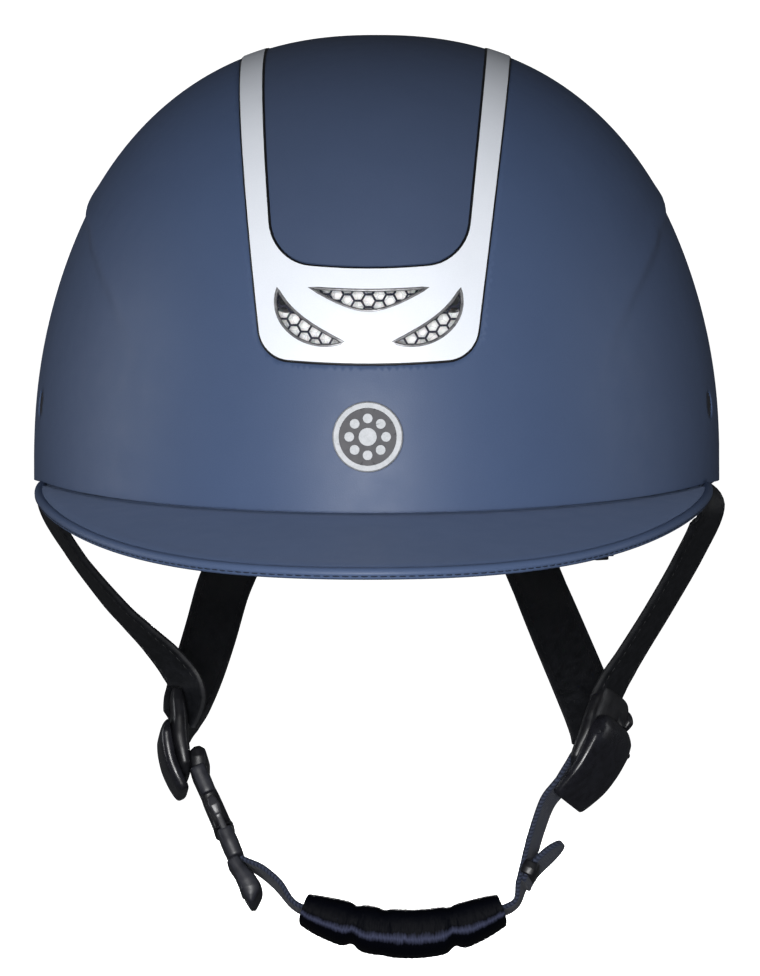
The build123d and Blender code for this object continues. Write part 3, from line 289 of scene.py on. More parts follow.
def bead_foam(name, light, shade):
    """Expanded beads pressed together: faceted cells with darker seams."""
    made = Finish(name, light, 0.62, Subsurface_Weight=0.05, Subsurface_Scale=0.002)
    where = made.place()
    cells = made.node("TexVoronoi", {"feature": "DISTANCE_TO_EDGE"}, Vector=where, Scale=0.42)
    tone = made.node("TexVoronoi", None, Vector=where, Scale=0.42).outputs["Color"]
    single = made.node("SeparateColor", None, Color=tone).outputs[0]
    seam = made.remap(cells.outputs["Distance"], 0.0, 0.08, 0.0, 1.0)
    share = made.math("MULTIPLY", seam, made.remap(single, 0.0, 1.0, 0.75, 1.0))
    made.color(share, [(0.0, shade), (0.6, light)])
    made.rough(made.noise(where, 0.6, 3.0), 0.52, 0.7)
    made.bump((made.math("SQRT", seam), 0.35, 0.15), (made.noise(where, 1.5, 3.0), 0.2, 0.05))
    return made.material


def leather(name, dark, light):
    """Supple black synthetic leather with a pore grain."""
    made = Finish(name, dark, 0.55, Specular_IOR_Level=0.28)
    where = made.place()
    pores = made.node("TexVoronoi", {"feature": "SMOOTH_F1"}, Vector=where, Scale=1.7, Smoothness=0.4)
    crease = made.noise(where, 0.35, 5.0, 0.65)
    made.color(crease, [(0.35, dark), (0.75, light)])
    made.rough(crease, 0.5, 0.64)
    made.bump((pores.outputs["Distance"], 0.35, 0.07), (crease, 0.25, 0.12))
    return made.material


def twill(name, dark, light, rib=1.15):
    """Woven webbing: slanting ribs crossed by yarn rows, along the strap's own length."""
    made = Finish(name, dark, 0.68, Sheen_Weight=0.05, Sheen_Roughness=0.45, Specular_IOR_Level=0.22)
    where = made.place("UV", (1.0, 1.0, 1.0))
    parts = made.node("SeparateXYZ", None, Vector=where)
    across, along = parts.outputs["X"], parts.outputs["Y"]
    slant = made.math("ADD", made.math("MULTIPLY", made.math("ABSOLUTE", across), 0.85), along)
    ribs = made.math("SINE", made.math("MULTIPLY", slant, 2 * math.pi / rib))
    yarn = made.math("SINE", made.math("MULTIPLY", across, 2 * math.pi / 0.62))
    weave = made.math("MULTIPLY_ADD", yarn, 0.3, ribs)
    fuzz = made.noise(where, 3.0, 4.0, 0.7)
    raised = made.remap(weave, -1.3, 1.3, 0.0, 1.0)
    share = made.math("MULTIPLY_ADD", raised, 0.7, made.math("MULTIPLY", fuzz, 0.3))
    made.color(share, [(0.2, dark), (0.75, light)])
    made.rough(fuzz, 0.6, 0.78)
    made.bump((raised, 0.6, 0.16), (fuzz, 0.3, 0.06))
    return made.material


def satin(name, dark, light):
    """Black satin sleeve: fine cords, and a painted sheen: a lighter band painted along the lower front."""
    made = Finish(name, dark, 0.5, Specular_IOR_Level=0.03)
    where = made.place("UV", (1.0, 1.0, 1.0))
    parts = made.node("SeparateXYZ", None, Vector=where)
    wander = made.math("MULTIPLY", made.noise(where, 0.25, 3.0), 1.6)
    along = made.math("ADD", parts.outputs["Y"], wander)
    cords = made.math("SINE", made.math("MULTIPLY", along, 2 * math.pi / 0.95))
    rib = made.remap(cords, -1.0, 1.0, 0.0, 1.0)
    slub = made.noise(made.place("UV", (0.4, 4.0, 1.0)), 1.0, 4.0, 0.65)
    fold = made.noise(made.place("UV", (0.2, 0.75, 1.0)), 0.55, 3.0, 0.55)
    # Painted sheen: the light colour is laid in a band round the sleeve's lower front, its middle wandering
    # with the folds.
    drift = made.math("MULTIPLY_ADD", fold, 3.4, 3.3)
    off = made.math("ABSOLUTE", made.math("SUBTRACT", parts.outputs["X"], drift))
    painted_sheen_band = made.math("MULTIPLY", made.remap(off, 0.2, 2.6, 1.0, 0.0), made.remap(slub, 0.3, 0.7, 0.45, 1.0))
    share = made.math("MULTIPLY_ADD", rib, 0.08, made.math("MULTIPLY", painted_sheen_band, 0.9))
    made.color(share, [(0.12, dark), (0.9, light)])
    made.rough(slub, 0.46, 0.6)
    made.bump((fold, 0.5, 1.1), (rib, 0.12, 0.08), (slub, 0.2, 0.06))
    return made.material


def knit(name, dark, light):
    """Brushed wicking knit with a small diamond mesh."""
    made = Finish(name, dark, 0.85, Sheen_Weight=0.4, Sheen_Roughness=0.5, Specular_IOR_Level=0.2)
    where = made.place()
    parts = made.node("SeparateXYZ", None, Vector=where)
    x, y, z = (parts.outputs[axis] for axis in "XYZ")
    sum_axis = made.math("ADD", x, made.math("ADD", y, z))
    difference = made.math("SUBTRACT", z, made.math("SUBTRACT", x, y))
    first = made.math("SINE", made.math("MULTIPLY", sum_axis, 2 * math.pi / 1.5))
    second = made.math("SINE", made.math("MULTIPLY", difference, 2 * math.pi / 1.5))
    loops = made.remap(made.math("MULTIPLY", first, second), -1.0, 1.0, 0.0, 1.0)
    fuzz = made.noise(where, 1.8, 5.0, 0.7)
    share = made.math("MULTIPLY_ADD", loops, 0.5, made.math("MULTIPLY", fuzz, 0.5))
    made.color(share, [(0.25, dark), (0.75, light)])
    made.rough(fuzz, 0.78, 0.92)
    made.bump((loops, 0.5, 0.25), (fuzz, 0.4, 0.15))
    return made.material


def thread(name, color):
    made = Finish(name, color, 0.6, Specular_IOR_Level=0.2)
    where = made.place()
    twist = made.noise(where, 3.5, 3.0)
    made.color(twist, [(0.3, tuple(c * 0.6 for c in color)), (0.7, color)])
    made.bump((twist, 0.4, 0.08))
    return made.material


def medallion():
    """Polished pewter with a dark filled ground behind the raised figure."""
    level = (BADGE_Z / CROWN) ** ROUNDNESS
    place = Vector((0.0, WIDEST_Y - FRONT_REACH * (1 - level) ** (1 / ROUNDNESS), BADGE_Z))
    plan = (1 - level) ** (1 - 1 / ROUNDNESS)
    out = Vector((0.0, -plan / FRONT_REACH, (BADGE_Z / CROWN) ** (ROUNDNESS - 1) / CROWN)).normalized()
    made = Finish("medallion_pewter", (0.2, 0.21, 0.22), 0.5, 0.25, Specular_IOR_Level=0.3)
    where = made.place()
    height = made.node("VectorMath", {"operation": "DOT_PRODUCT"}, i0=where, i1=out).outputs["Value"]
    floor = out.dot(place) + 1.0
    ground = made.remap(height, floor + 0.15, floor + 0.35, 1.0, 0.0)
    tarnish = made.noise(where, 0.5, 5.0, 0.65)
    bright = made.tint(tarnish, [(0.35, (0.2, 0.21, 0.22)), (0.65, (0.34, 0.35, 0.37))])
    fill = made.tint(tarnish, [(0.3, (0.02, 0.02, 0.024)), (0.8, (0.05, 0.05, 0.056))])
    blend = made.node("Mix", {"data_type": "RGBA"}, i0=ground, i6=bright, i7=fill)
    made.tree.links.new(blend.outputs[2], made.shader.inputs["Base Color"])
    made.rough(tarnish, 0.46, 0.58)
    made.bump((tarnish, 0.15, 0.04), (made.noise(where, 3.0, 2.0), 0.1, 0.02))
    return made.material


SHELL_PAINT = navy_paint("navy_soft_touch", (0.043, 0.067, 0.132), (0.052, 0.08, 0.154))
PANEL_PAINT = navy_paint("navy_panel", (0.041, 0.06, 0.111), (0.051, 0.073, 0.133), 0.7)
# The brim top's navy is lifted about a quarter above the same navy on its rolled edge (EDGE_SKIN): painted
# light for the light its upper face catches.
BRIM_SKIN_PAINTED_LIGHT = navy_paint("navy_brim_skin_painted_light", (0.064, 0.097, 0.186), (0.08, 0.12, 0.228), 0.8)
brim_shader = BRIM_SKIN_PAINTED_LIGHT.node_tree.nodes["Principled BSDF"]
brim_shader.inputs["Sheen Weight"].default_value = 0.09
brim_shader.inputs["Sheen Tint"].default_value = (0.5, 0.62, 0.9, 1)
EDGE_SKIN = navy_paint("navy_brim_edge", (0.05, 0.077, 0.148), (0.064, 0.096, 0.182), 0.8)
SILVER = silver_lacquer()
VENT_EDGE_SHADE = vent_edge_shade()
GASKET = plastic("black_gasket", (0.003, 0.003, 0.004), (0.007, 0.0075, 0.01), 0.5)
GRAPHITE = plastic("graphite_mesh", (0.012, 0.013, 0.022), (0.04, 0.042, 0.06), 0.36, 0.2)
PEWTER = medallion()
FOAM = bead_foam("white_bead_foam", (0.93, 0.93, 0.93), (0.62, 0.63, 0.65))
SOFT_FOAM = bead_foam("dark_soft_foam", (0.09, 0.09, 0.1), (0.04, 0.04, 0.045))
STRAP = leather("strap_leather", (0.002, 0.0024, 0.0034), (0.006, 0.0066, 0.009))
TWILL = twill("navy_twill", (0.009, 0.012, 0.022), (0.036, 0.044, 0.075))
# The light colour of the satin is its painted sheen band.
SATIN_PAINTED_SHEEN = satin("black_satin_rib_painted_sheen", (0.0012, 0.0015, 0.003), (0.05, 0.056, 0.1))
LINING = knit("wicking_knit", (0.012, 0.014, 0.022), (0.035, 0.04, 0.056))
NYLON = plastic("black_nylon", (0.004, 0.004, 0.005), (0.01, 0.0105, 0.013), 0.36)
BUCKLE_NYLON = plastic("buckle_nylon", (0.012, 0.0125, 0.017), (0.024, 0.025, 0.032), 0.42)
PRONG_NYLON = plastic("prong_nylon", (0.02, 0.02, 0.024), (0.035, 0.036, 0.042), 0.3)
LEVER_NYLON = plastic("lever_nylon", (0.006, 0.006, 0.008), (0.013, 0.0135, 0.018), 0.28)
STEEL = steel("brushed_pin_steel", (0.5, 0.5, 0.52), 0.32)
DARK_RIVET = steel("blackened_rivet", (0.06, 0.062, 0.07), 0.38)
BLACK_THREAD = thread("black_thread", (0.006, 0.0065, 0.008))
NAVY_THREAD = thread("navy_thread", (0.02, 0.028, 0.05))


# ---------------------------------------------------------------- mesh helpers
def piece(name, verts, faces, material, body, uvs=None, angle=40.0):
    """A new mesh object in metres from millimetre points, riding on a body."""
    mesh = bpy.data.meshes.new(name)
    mesh.from_pydata([tuple(c * MM for c in v) for v in verts], [], faces)
    mesh.validate()
    if uvs:
        layer = mesh.uv_layers.new(name="length")
        for polygon in mesh.polygons:
            for loop, corner in zip(polygon.loop_indices, uvs[polygon.index]):
                layer.data[loop].uv = corner
    made = bpy.data.objects.new(name, mesh)
    bpy.context.scene.collection.objects.link(made)
    mesh.materials.append(material)
    mesh.shade_smooth()
    mesh.set_sharp_from_angle(angle=math.radians(angle))
    if body:
        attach(made, body)
    return made


def outward(made):
    """Turns all faces of a closed mesh outward."""
    bm = bmesh.new()
    bm.from_mesh(made.data)
    bmesh.ops.recalc_face_normals(bm, faces=bm.faces)
    bm.to_mesh(made.data)
    bm.free()
    return made


def dress(node, material, bevel=0.0, segments=2, angle=38.0):
    """Gives a carried-over CAD node its finish and rounded edges."""
    obj = NODES[node]
    obj.data.materials.clear()
    obj.data.materials.append(material)
    if bevel:
        joined = obj.modifiers.new("joined", "WELD")
        joined.merge_threshold = 0.000002
        edge = obj.modifiers.new("edge", "BEVEL")
        edge.width = bevel * MM
        edge.segments = segments
        edge.limit_method = "ANGLE"
        edge.angle_limit = math.radians(angle)
        edge.use_clamp_overlap = True
        edge.harden_normals = False
    return obj


def refined(node, name, grow, longest, shift=None):
    """Copy of a dome-shaped CAD node whose outer skin is finely divided and exactly on its form."""
    bm = bmesh.new()
    bm.from_mesh(NODES[node].data)
    bmesh.ops.remove_doubles(bm, verts=bm.verts, dist=1e-7)
    skin = bm.verts.layers.int.new("skin")

    def on_skin(co):
        x, y, z = (c * 1000 for c in co)
        return z > -0.05 and abs(shell_share(x, y, z, grow) - 1) < 0.0022

    for vert in bm.verts:
        vert[skin] = int(on_skin(vert.co))
    for _ in range(7):
        skin_edges = [e for e in bm.edges if e.verts[0][skin] and e.verts[1][skin]]
        long_edges = [
            e
            for e in skin_edges
            if e.calc_length() > longest * MM and on_skin((e.verts[0].co + e.verts[1].co) / 2)
        ]
        if not long_edges:
            break
        cut = bmesh.ops.subdivide_edges(bm, edges=long_edges, cuts=1)
        for item in cut["geom_inner"]:
            if isinstance(item, bmesh.types.BMVert):
                item[skin] = 1
        bmesh.ops.triangulate(bm, faces=[f for f in bm.faces if len(f.verts) > 3])
    for vert in bm.verts:
        if not vert[skin]:
            continue
        x, y, z = (c * 1000 for c in vert.co)
        if z <= 0:
            continue
        share = shell_share(x, y, z, grow)
        place = Vector((x / share, WIDEST_Y + (y - WIDEST_Y) / share, z / share))
        if shift:
            place = shift(place)
        vert.co = place * MM
    mesh = bpy.data.meshes.new(name)
    bm.to_mesh(mesh)
    bm.free()
    made = bpy.data.objects.new(name, mesh)
    bpy.context.scene.collection.objects.link(made)
    mesh.materials.clear()
    mesh.shade_smooth()
    mesh.set_sharp_from_angle(angle=math.radians(30))
    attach(made, "helmet")
    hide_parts(node)
    return made


def between(p0, p1, p2, p3, share):
    cubic = (p1 - p2) * 3 + p3 - p0
    square = p0 * 2 - p1 * 5 + p2 * 4 - p3
    return (p1 * 2 + (p2 - p0) * share + square * share**2 + cubic * share**3) * 0.5


def densify(stations, steps):
    centres = [Vector(c) for c, a in stations]
    acrosses = [Vector(a).normalized() for c, a in stations]
    last = len(stations) - 1
    dense = []
    for index in range(last):
        low, high = max(index - 1, 0), min(index + 2, last)
        for step in range(steps):
            share = step / steps
            centre = between(centres[low], centres[index], centres[index + 1], centres[high], share)
            dense.append((centre, acrosses[index].lerp(acrosses[index + 1], share)))
    dense.append((centres[last], acrosses[last]))
    return dense


def strap_rings(stations, steps):
    """Centre, width direction, face direction and length so far, all along a strap."""
    dense = densify(stations, steps)
    last = len(dense) - 1
    length = 0.0
    rings = []
    for index, (centre, across) in enumerate(dense):
        along = (dense[min(index + 1, last)][0] - dense[max(index - 1, 0)][0]).normalized()
        lateral = (across - along * across.dot(along)).normalized()
        if index:
            length += (centre - dense[index - 1][0]).length
        rings.append((centre, lateral, along.cross(lateral), length))
    return rings


def strap_outline(width, thickness, crown, welt):
    """Half section points: across, out. Rounded edges, crowned faces, a pressed line inside each edge."""
    half, edge = width / 2, thickness / 2
    face = []
    count = 12
    for index in range(count + 1):
        across = -1 + 2 * index / count
        out = edge * (1 + crown * (1 - across * across))
        out -= welt * bell(abs(across) * half - half + 2.1, 0.55)
        face.append((across * (half - edge * 0.9), out))
    rim = [(half - edge * 0.35, edge * 0.72), (half, 0.0), (half - edge * 0.35, -edge * 0.72)]
    back = [(-a, -o) for a, o in face]
    left = [(-a, -o) for a, o in rim]
    return face + rim + back + left


def strap(name, stations, width, thickness, material, body, steps=8, crown=0.08, welt=0.0):
    """Flat webbing or leather swept along stations of (centre, width direction)."""
    rings = strap_rings(stations, steps)
    outline = strap_outline(width, thickness, crown, welt)
    around = len(outline)
    verts, uvs = [], []
    for row, (centre, lateral, out, length) in enumerate(rings):
        for across, height in outline:
            verts.append(centre + lateral * across + out * height)
        if row:
            low, high = rings[row - 1][3], length
            for spot in range(around):
                u0, u1 = outline[spot][0], outline[(spot + 1) % around][0]
                uvs.append(((u0, low), (u1, low), (u1, high), (u0, high)))
    faces = tube_faces(len(rings) - 1, around) + end_caps(len(rings) - 1, around)
    uvs += [tuple(outline)] * 2
    return outward(piece(name, verts, faces, material, body, uvs, 50.0)), rings


def round_end(made, rings, radius):
    """Draw a strap's last millimetres in to a half round end."""
    vertices = made.data.vertices
    around = len(vertices) // len(rings)
    for row, (centre, lateral, out, length) in enumerate(rings):
        near = 1 - (rings[-1][3] - length) / radius
        if near > 0:
            cut = 1 - math.sqrt(max(1 - near * near, 0.03))
            for vertex in vertices[row * around:(row + 1) * around]:
                vertex.co -= lateral * ((vertex.co / MM - centre).dot(lateral) * cut * MM)


def stitches(name, runs, length, gap, radius, material, body):
    """Rows of single stitches. Each run is a list of points with the surface direction at each."""
    verts, faces = [], []
    sides = 6
    for run in runs:
        travelled, wanted = 0.0, gap
        marks = []
        for (p, n), (q, m) in zip(run, run[1:]):
            span = (q - p).length
            while wanted <= travelled + span:
                share = (wanted - travelled) / span
                marks.append((p.lerp(q, share), (q - p).normalized(), n.lerp(m, share).normalized()))
                wanted += length + gap
            travelled += span
        for centre, along, up in marks:
            side = along.cross(up).normalized()
            up = side.cross(along)
            base = len(verts)
            for step, size in ((-0.5, 0.15), (-0.36, 0.85), (0.0, 1.0), (0.36, 0.85), (0.5, 0.15)):
                middle = centre + along * (step * length) + up * (radius * (0.55 - 2.2 * step * step))
                for turn in range(sides):
                    angle = 2 * math.pi * turn / sides
                    verts.append(middle + (side * math.cos(angle) + up * math.sin(angle)) * (radius * size))
            for ring in range(4):
                for turn in range(sides):
                    a = base + ring * sides + turn
                    b = base + ring * sides + (turn + 1) % sides
                    faces.append((a, b, b + sides, a + sides))
    return outward(piece(name, verts, faces, material, body))


# ---------------------------------------------------------------------- shell
# Swage line along the side of the shell: (y, height).
CREASE = [
    (-101.0, 27.5), (-98.0, 33.0), (-91.7, 40.9), (-84.5, 48.7), (-71.7, 57.7), (-57.5, 64.8),
    (-36.0, 73.5), (0.0, 80.0), (50.0, 82.0), (90.0, 76.0), (118.0, 62.0),
]


def crease_height(y):
    ys, zs = zip(*CREASE)
    return float(np.interp(y, ys, zs)), float(np.interp(y + 4, ys, zs) - np.interp(y - 4, ys, zs)) / 8


def crease(place):
    """Presses in the side panels behind and below the swage line."""
    if abs(place.x) < 30 or place.y < -108:
        return place
    height, slope = crease_height(place.y)
    below = (height - place.z) / math.hypot(1, slope)
    strength = 0.95 * smooth(-104, -40, place.y) * (1 - smooth(70, 112, place.y))
    strength *= smooth(30, 52, abs(place.x))
    inset = strength * smooth(-0.6, 2.6, below) * (1 - smooth(8, 62, below))
    ridge = 0.22 * strength * bell(below + 1.4, 2.4)
    return place + dome_out(place, HALF_WIDTH, FRONT_REACH, CROWN) * (ridge - inset)


def inside_vents(x, z):
    """Within the band of vent openings low on the trim, clear of the trim's own outline."""
    return 43.4 < z < 64.2 and abs(x) < 27.2 and (z > 48 or abs(x) < 24.0)


shell = refined("outer_shell", "shell_skin", 0.0, 2.4, crease)
shell.data.materials.append(SHELL_PAINT)
panel = refined("crown_panel", "crown_panel_skin", 0.1, 3.0)
panel.data.materials.append(PANEL_PAINT)
trim = refined("vent_frame", "vent_frame_skin", 0.45, 3.0)
trim.data.materials.append(SILVER)
# Second slot: grey painted shade for the walls of the vent openings.
trim.data.materials.append(VENT_EDGE_SHADE)
for obj, width, segments in ((panel, 0.75, 4), (trim, 0.45, 3)):
    edge = obj.modifiers.new("edge", "BEVEL")
    edge.width = width * MM
    edge.segments = segments
    edge.limit_method = "ANGLE"
    edge.angle_limit = math.radians(42)


def rims(wanted):
    """Closed edge loops of the trim's face, in order: its vent openings or its own outline."""
    bm = bmesh.new()
    bm.from_mesh(trim.data)
    links = {}
    for rim in bm.edges:
        ends = [v.co * 1000 for v in rim.verts]
        middle = (ends[0] + ends[1]) / 2
        on_top = all(abs(shell_share(*end, 0.45) - 1) < 0.002 for end in ends)
        if on_top and wanted(middle.x, middle.z) and rim.calc_face_angle(0.0) > 0.7:
            a, b = (tuple(round(c, 4) for c in end) for end in ends)
            links.setdefault(a, []).append(b)
            links.setdefault(b, []).append(a)
    bm.free()
    loops = []
    while links:
        start = next(iter(links))
        loop, spot, before = [start], start, None
        while True:
            onward = [p for p in links.get(spot, []) if p != before]
            before = spot
            if not onward or onward[0] == start:
                break
            spot = onward[0]
            loop.append(spot)
            if len(loop) > 4000:
                break
        for point in loop:
            links.pop(point, None)
        if len(loop) > 12:
            loops.append([Vector(p) for p in loop])
    return loops


def rim_cord(name, loops, wide, tall, sink, material):
    """A thin rounded cord along closed loops, sunk a little into the trim."""
    verts, faces = [], []
    for loop in loops:
        count, sides, base = len(loop), 8, len(verts)
        for index, point in enumerate(loop):
            along = (loop[(index + 1) % count] - loop[index - 1]).normalized()
            reach = FRONT_REACH if point.y < WIDEST_Y else BACK_REACH
            out = dome_out(point, HALF_WIDTH, reach, CROWN)
            aside = along.cross(out).normalized()
            for turn in range(sides):
                angle = 2 * math.pi * turn / sides
                offset = aside * (wide * math.cos(angle)) + out * (tall * math.sin(angle))
                verts.append(point - out * sink + offset)
        for index in range(count):
            for turn in range(sides):
                after = (turn + 1) % sides
                near, far = base + index * sides, base + (index + 1) % count * sides
                faces.append((near + turn, near + after, far + after, far + turn))
    return outward(piece(name, verts, faces, material, "helmet", angle=70.0))


# Grey cords round the vent openings: painted shade along their edges.
rim_cord("vent_rims_painted_shade", rims(inside_vents), 0.46, 0.34, 0.2, VENT_EDGE_SHADE)
rim_cord("trim_gasket", rims(lambda x, z: not inside_vents(x, z)), 0.62, 0.3, 0.36, GASKET)
# The vent openings' walls take the second slot, the grey painted shade.
for polygon in trim.data.polygons:
    centre = polygon.center * 1000
    if 44 < centre.z < 63 and abs(centre.x) < 27.5 and abs(polygon.normal.y) < 0.62 and abs(centre.y) > 40:
        polygon.material_index = 1

dress("front_vent_mesh", GRAPHITE, 0.14, 2)
dress("rear_vent_mesh", GRAPHITE, 0.14, 2)
dress("badge", PEWTER, 0.12, 2)
dress("badge_push_nuts", STEEL, 0.1)
dress("harness_rivets", DARK_RIVET, 0.35, 3)
dress("rivet_washers", STEEL, 0.1)
dress("eps_liner", FOAM, 0.5, 2)


# ----------------------------------------------------------------------- brim
def brim_radius(out_x, out_y, half, reach):
    return 1.0 / math.hypot(out_x / half, out_y / reach)


def brim_section(share):
    """Heading and section of the brim: root distance, edge distance, edge height, slope."""
    sweep = share * math.pi / 2
    edge_x, edge_y = 95.5 * math.sin(sweep), -36.0 - 151.0 * math.cos(sweep)
    edge = math.hypot(edge_x, edge_y - WIDEST_Y)
    out_x, out_y = edge_x / edge, (edge_y - WIDEST_Y) / edge
    root = brim_radius(out_x, out_y, HALF_WIDTH, FRONT_REACH) - 0.2
    edge_z = -8.05 + 9.25 * abs(math.sin(sweep)) ** 3.6
    return out_x, out_y, root, edge, edge_z, math.atan2(edge_z - 1.2, edge - root)


SECTIONS = [brim_section(-1 + index / 48) for index in range(97)]
TOP_SHARES = [0.0, 0.04, 0.1, 0.2, 0.3, 0.4, 0.5, 0.6, 0.7, 0.78]
TOP_SHARES += [0.84, 0.88, 0.91, 0.935, 0.955, 0.97, 0.985, 1.0]
UNDER_SHARES = [1.0, 0.94, 0.8, 0.6, 0.4, 0.2, 0.05]
ROOT_Z, BRIM_THICKNESS = 1.2, 2.3


def slanted(root, slope, along, lift):
    """Distance out and height of a point so far down the brim's slope, lifted square to it."""
    cos, sin = math.cos(slope), math.sin(slope)
    return root + along * cos - lift * sin, ROOT_Z + along * sin + lift * cos


verts = []
for out_x, out_y, root, edge, edge_z, slope in SECTIONS:
    run = edge - root
    loop = []
    reach = run - 1.0
    for share in TOP_SHARES:
        s = share * reach
        from_edge = reach - s
        full = smooth(2, 16, run)
        puff = 0.55 * full * math.sin(math.pi * min(share, 1.0)) ** 0.8
        puff += 0.12 * full * bell(from_edge - 3.6, 1.7)
        puff -= 0.3 * bell(from_edge, 0.6) + bell(s, 0.9)
        loop.append(slanted(root, slope, s, puff))
    under = [slanted(root, slope, share * reach, -BRIM_THICKNESS) for share in UNDER_SHARES]
    inner = brim_radius(out_x, out_y, HALF_WIDTH - 5.3, FRONT_REACH - 5.3)
    outer = brim_radius(out_x, out_y, HALF_WIDTH - 3.5, FRONT_REACH - 3.5)
    flange = [(inner, z) for z in (-1.0, 4.0, 10.0)] + [(outer, z) for z in (10.0, 4.0, 0.9)]
    flange.append((root - 1.5, 0.9))
    loop += under + flange
    ring = len(loop)
    for r, z in loop:
        verts.append((out_x * r, WIDEST_Y + out_y * r, z))
faces = tube_faces(len(SECTIONS) - 1, ring) + end_caps(len(SECTIONS) - 1, ring)
brim = outward(piece("brim_skin", verts, faces, BRIM_SKIN_PAINTED_LIGHT, "helmet", angle=48.0))
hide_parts("brim")

verts, bead_run = [], []
BEAD, around = 1.6, 28
SEAM_DEGREES = 335
bead_centres = []
for out_x, out_y, root, edge, edge_z, slope in SECTIONS:
    out = edge + 1.2 * math.sin(slope) - math.cos(slope)
    centre = Vector((out_x * out, WIDEST_Y + out_y * out, edge_z - 1.2 * math.cos(slope)))
    bead_centres.append((centre, Vector((out_x, out_y, 0))))
for centre, out in bead_centres:
    for turn in range(around):
        angle = 2 * math.pi * turn / around
        seam = bell(math.degrees(angle) - SEAM_DEGREES, 9.0)
        size = BEAD * (1 - 0.17 * seam)
        verts.append(centre + out * (size * math.cos(angle)) + Vector((0, 0, size * math.sin(angle))))
    seam_angle = math.radians(SEAM_DEGREES)
    seam_out = out * math.cos(seam_angle) + Vector((0, 0, math.sin(seam_angle)))
    bead_run.append((centre + seam_out * (BEAD * 0.86), seam_out))
faces = tube_faces(len(SECTIONS) - 1, around) + end_caps(len(SECTIONS) - 1, around)
bead = outward(piece("brim_rolled_edge", verts, faces, EDGE_SKIN, "helmet", angle=60.0))
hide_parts("brim_piping")
stitches("brim_edge_stitching", [bead_run[3:-3]], 1.9, 0.55, 0.2, NAVY_THREAD, "helmet")

# ------------------------------------------------------------- harness frames
LEAN = math.radians(18)
UP = Vector((0, math.sin(LEAN), math.cos(LEAN)))
ACROSS = Vector((0, -math.cos(LEAN), math.sin(LEAN)))
SIDE = Vector((1, 0, 0))


def chin(u, v, w=0.0):
    return Vector((u, v * math.sin(LEAN) - w * math.cos(LEAN), -75 + v * math.cos(LEAN) + w * math.sin(LEAN)))


class Local:
    """A fitting's own frame: out, along, up."""

    def __init__(self, origin, out, up):
        self.origin, self.out, self.up = origin, out.normalized(), up.normalized()
        self.along = self.up.cross(self.out)

    def at(self, out, along, up):
        return self.origin + self.out * out + self.along * along + self.up * up


def adjuster(centre, tilt, twist, side):
    tilt, twist = math.radians(tilt), math.radians(twist)
    upward = SIDE * math.sin(tilt) + UP * math.cos(tilt)
    flat = SIDE * math.cos(tilt) - UP * math.sin(tilt)
    return Local(chin(*centre), flat * (side * math.cos(twist)) + ACROSS * math.sin(twist), upward)


RIGHT = adjuster((-57.8, -1.5), -5.9, 6.0, -1)
LEFT = adjuster((65.5, -1.0), 19.5, 24.0, 1)
BUCKLE = Local(chin(-51.9, -12.2), SIDE * -0.914 - UP * 0.405, SIDE * 0.405 - UP * 0.914)


def wall_station(side, y, z):
    x = wall_x(y, z, -4.5)
    return (side * x, y, z), (-side * ((y - WIDEST_Y) / FRONT_REACH**2) / (x / HALF_WIDTH**2), 1.0, 0.0)


def nape_station(side, z):
    y = wall_back_y(42.0, z, -4.8)
    return (side * 42.0, y, z), (1.0, -side * (42.0 / HALF_WIDTH**2) / ((y - WIDEST_Y) / BACK_REACH**2), 0.0)


def wall_run(side):
    return [wall_station(side, y, z) for y, z in ((-28.0, 30.0), (-28.0, 14.0), (-25.0, 0.0))]


def nape_run(side):
    return [nape_station(side, z) for z in (6.0, -10.0, -22.0)]


# Each strap's stations: (centre, width direction).
STRAPS = {
    "front_strap_right": wall_run(-1)
    + [
        ((-93.4, -21, -9), (-0.42, 1, 0.05)),
        ((-86.8, -14, -22), (-0.38, 1, 0)),
        ((-76.2, -8, -36.5), (-0.56, 1, 0)),
        ((-69.9, -5.4, -43.4), (-0.7, 1, 0)),
        ((-63.2, -3, -50.5), (-0.92, 1, 0)),
        ((-57.8, -1.6, -57.4), (-0.95, 1, -0.1)),
        ((-55.4, -1.0, -62.5), (-0.8, 1, -0.2)),
        (RIGHT.at(-2.4, -0.6, 7.0), (-0.4, 1, -0.3)),
    ],
    "front_strap_left": wall_run(1)
    + [
        ((95.4, -21, -9), (0.66, 1, 0.05)),
        ((90.4, -14, -22), (0.64, 1, 0)),
        ((82.6, -8, -37), (0.64, 1, 0)),
        ((74.9, -3, -50.5), (0.68, 1, 0)),
        ((70.6, -1.0, -57.8), (0.7, 1, -0.1)),
        ((67.6, 0.4, -64.0), (0.7, 1, -0.1)),
        (LEFT.at(-2.0, 0.6, 5.0), (0.5, 1, -0.2)),
    ],
    "rear_strap_right": nape_run(-1)
    + [
        ((-43.6, 109, -28.5), (1, 0.45, 0)),
        ((-45.4, 92, -34), (0.9, 0.42, 0)),
        ((-48.4, 74, -41), (0.8, 0.55, -0.1)),
        ((-50.8, 48, -51), (0.72, 0.62, -0.15)),
        ((-53.2, 27, -59.5), (0.7, 0.62, -0.25)),
        ((-55.6, 13, -66.0), (0.66, 0.66, -0.3)),
        ((-57.6, 5.5, -70.5), (0.55, 0.75, -0.3)),
        ((-58.6, 2.0, -74.0), (0.4, 0.85, -0.2)),
    ],
    "rear_strap_left": nape_run(1)
    + [
        ((43.6, 109, -28.5), (1, -0.5, 0)),
        ((45.4, 92, -34), (0.85, -0.55, 0)),
        ((48.8, 74, -41), (0.84, -0.52, -0.1)),
        ((54.2, 48, -52), (0.82, -0.52, 0.05)),
        ((58.9, 27, -61.5), (0.8, -0.5, 0.1)),
        ((62.2, 13, -68.5), (0.8, -0.45, 0.15)),
        ((64.0, 6.0, -73.0), (0.8, -0.3, 0.2)),
        ((65.0, 3.0, -76.5), (0.8, -0.1, 0.2)),
    ],
}
STITCH_INSET, STITCH_LIFT = 6.15, 0.97
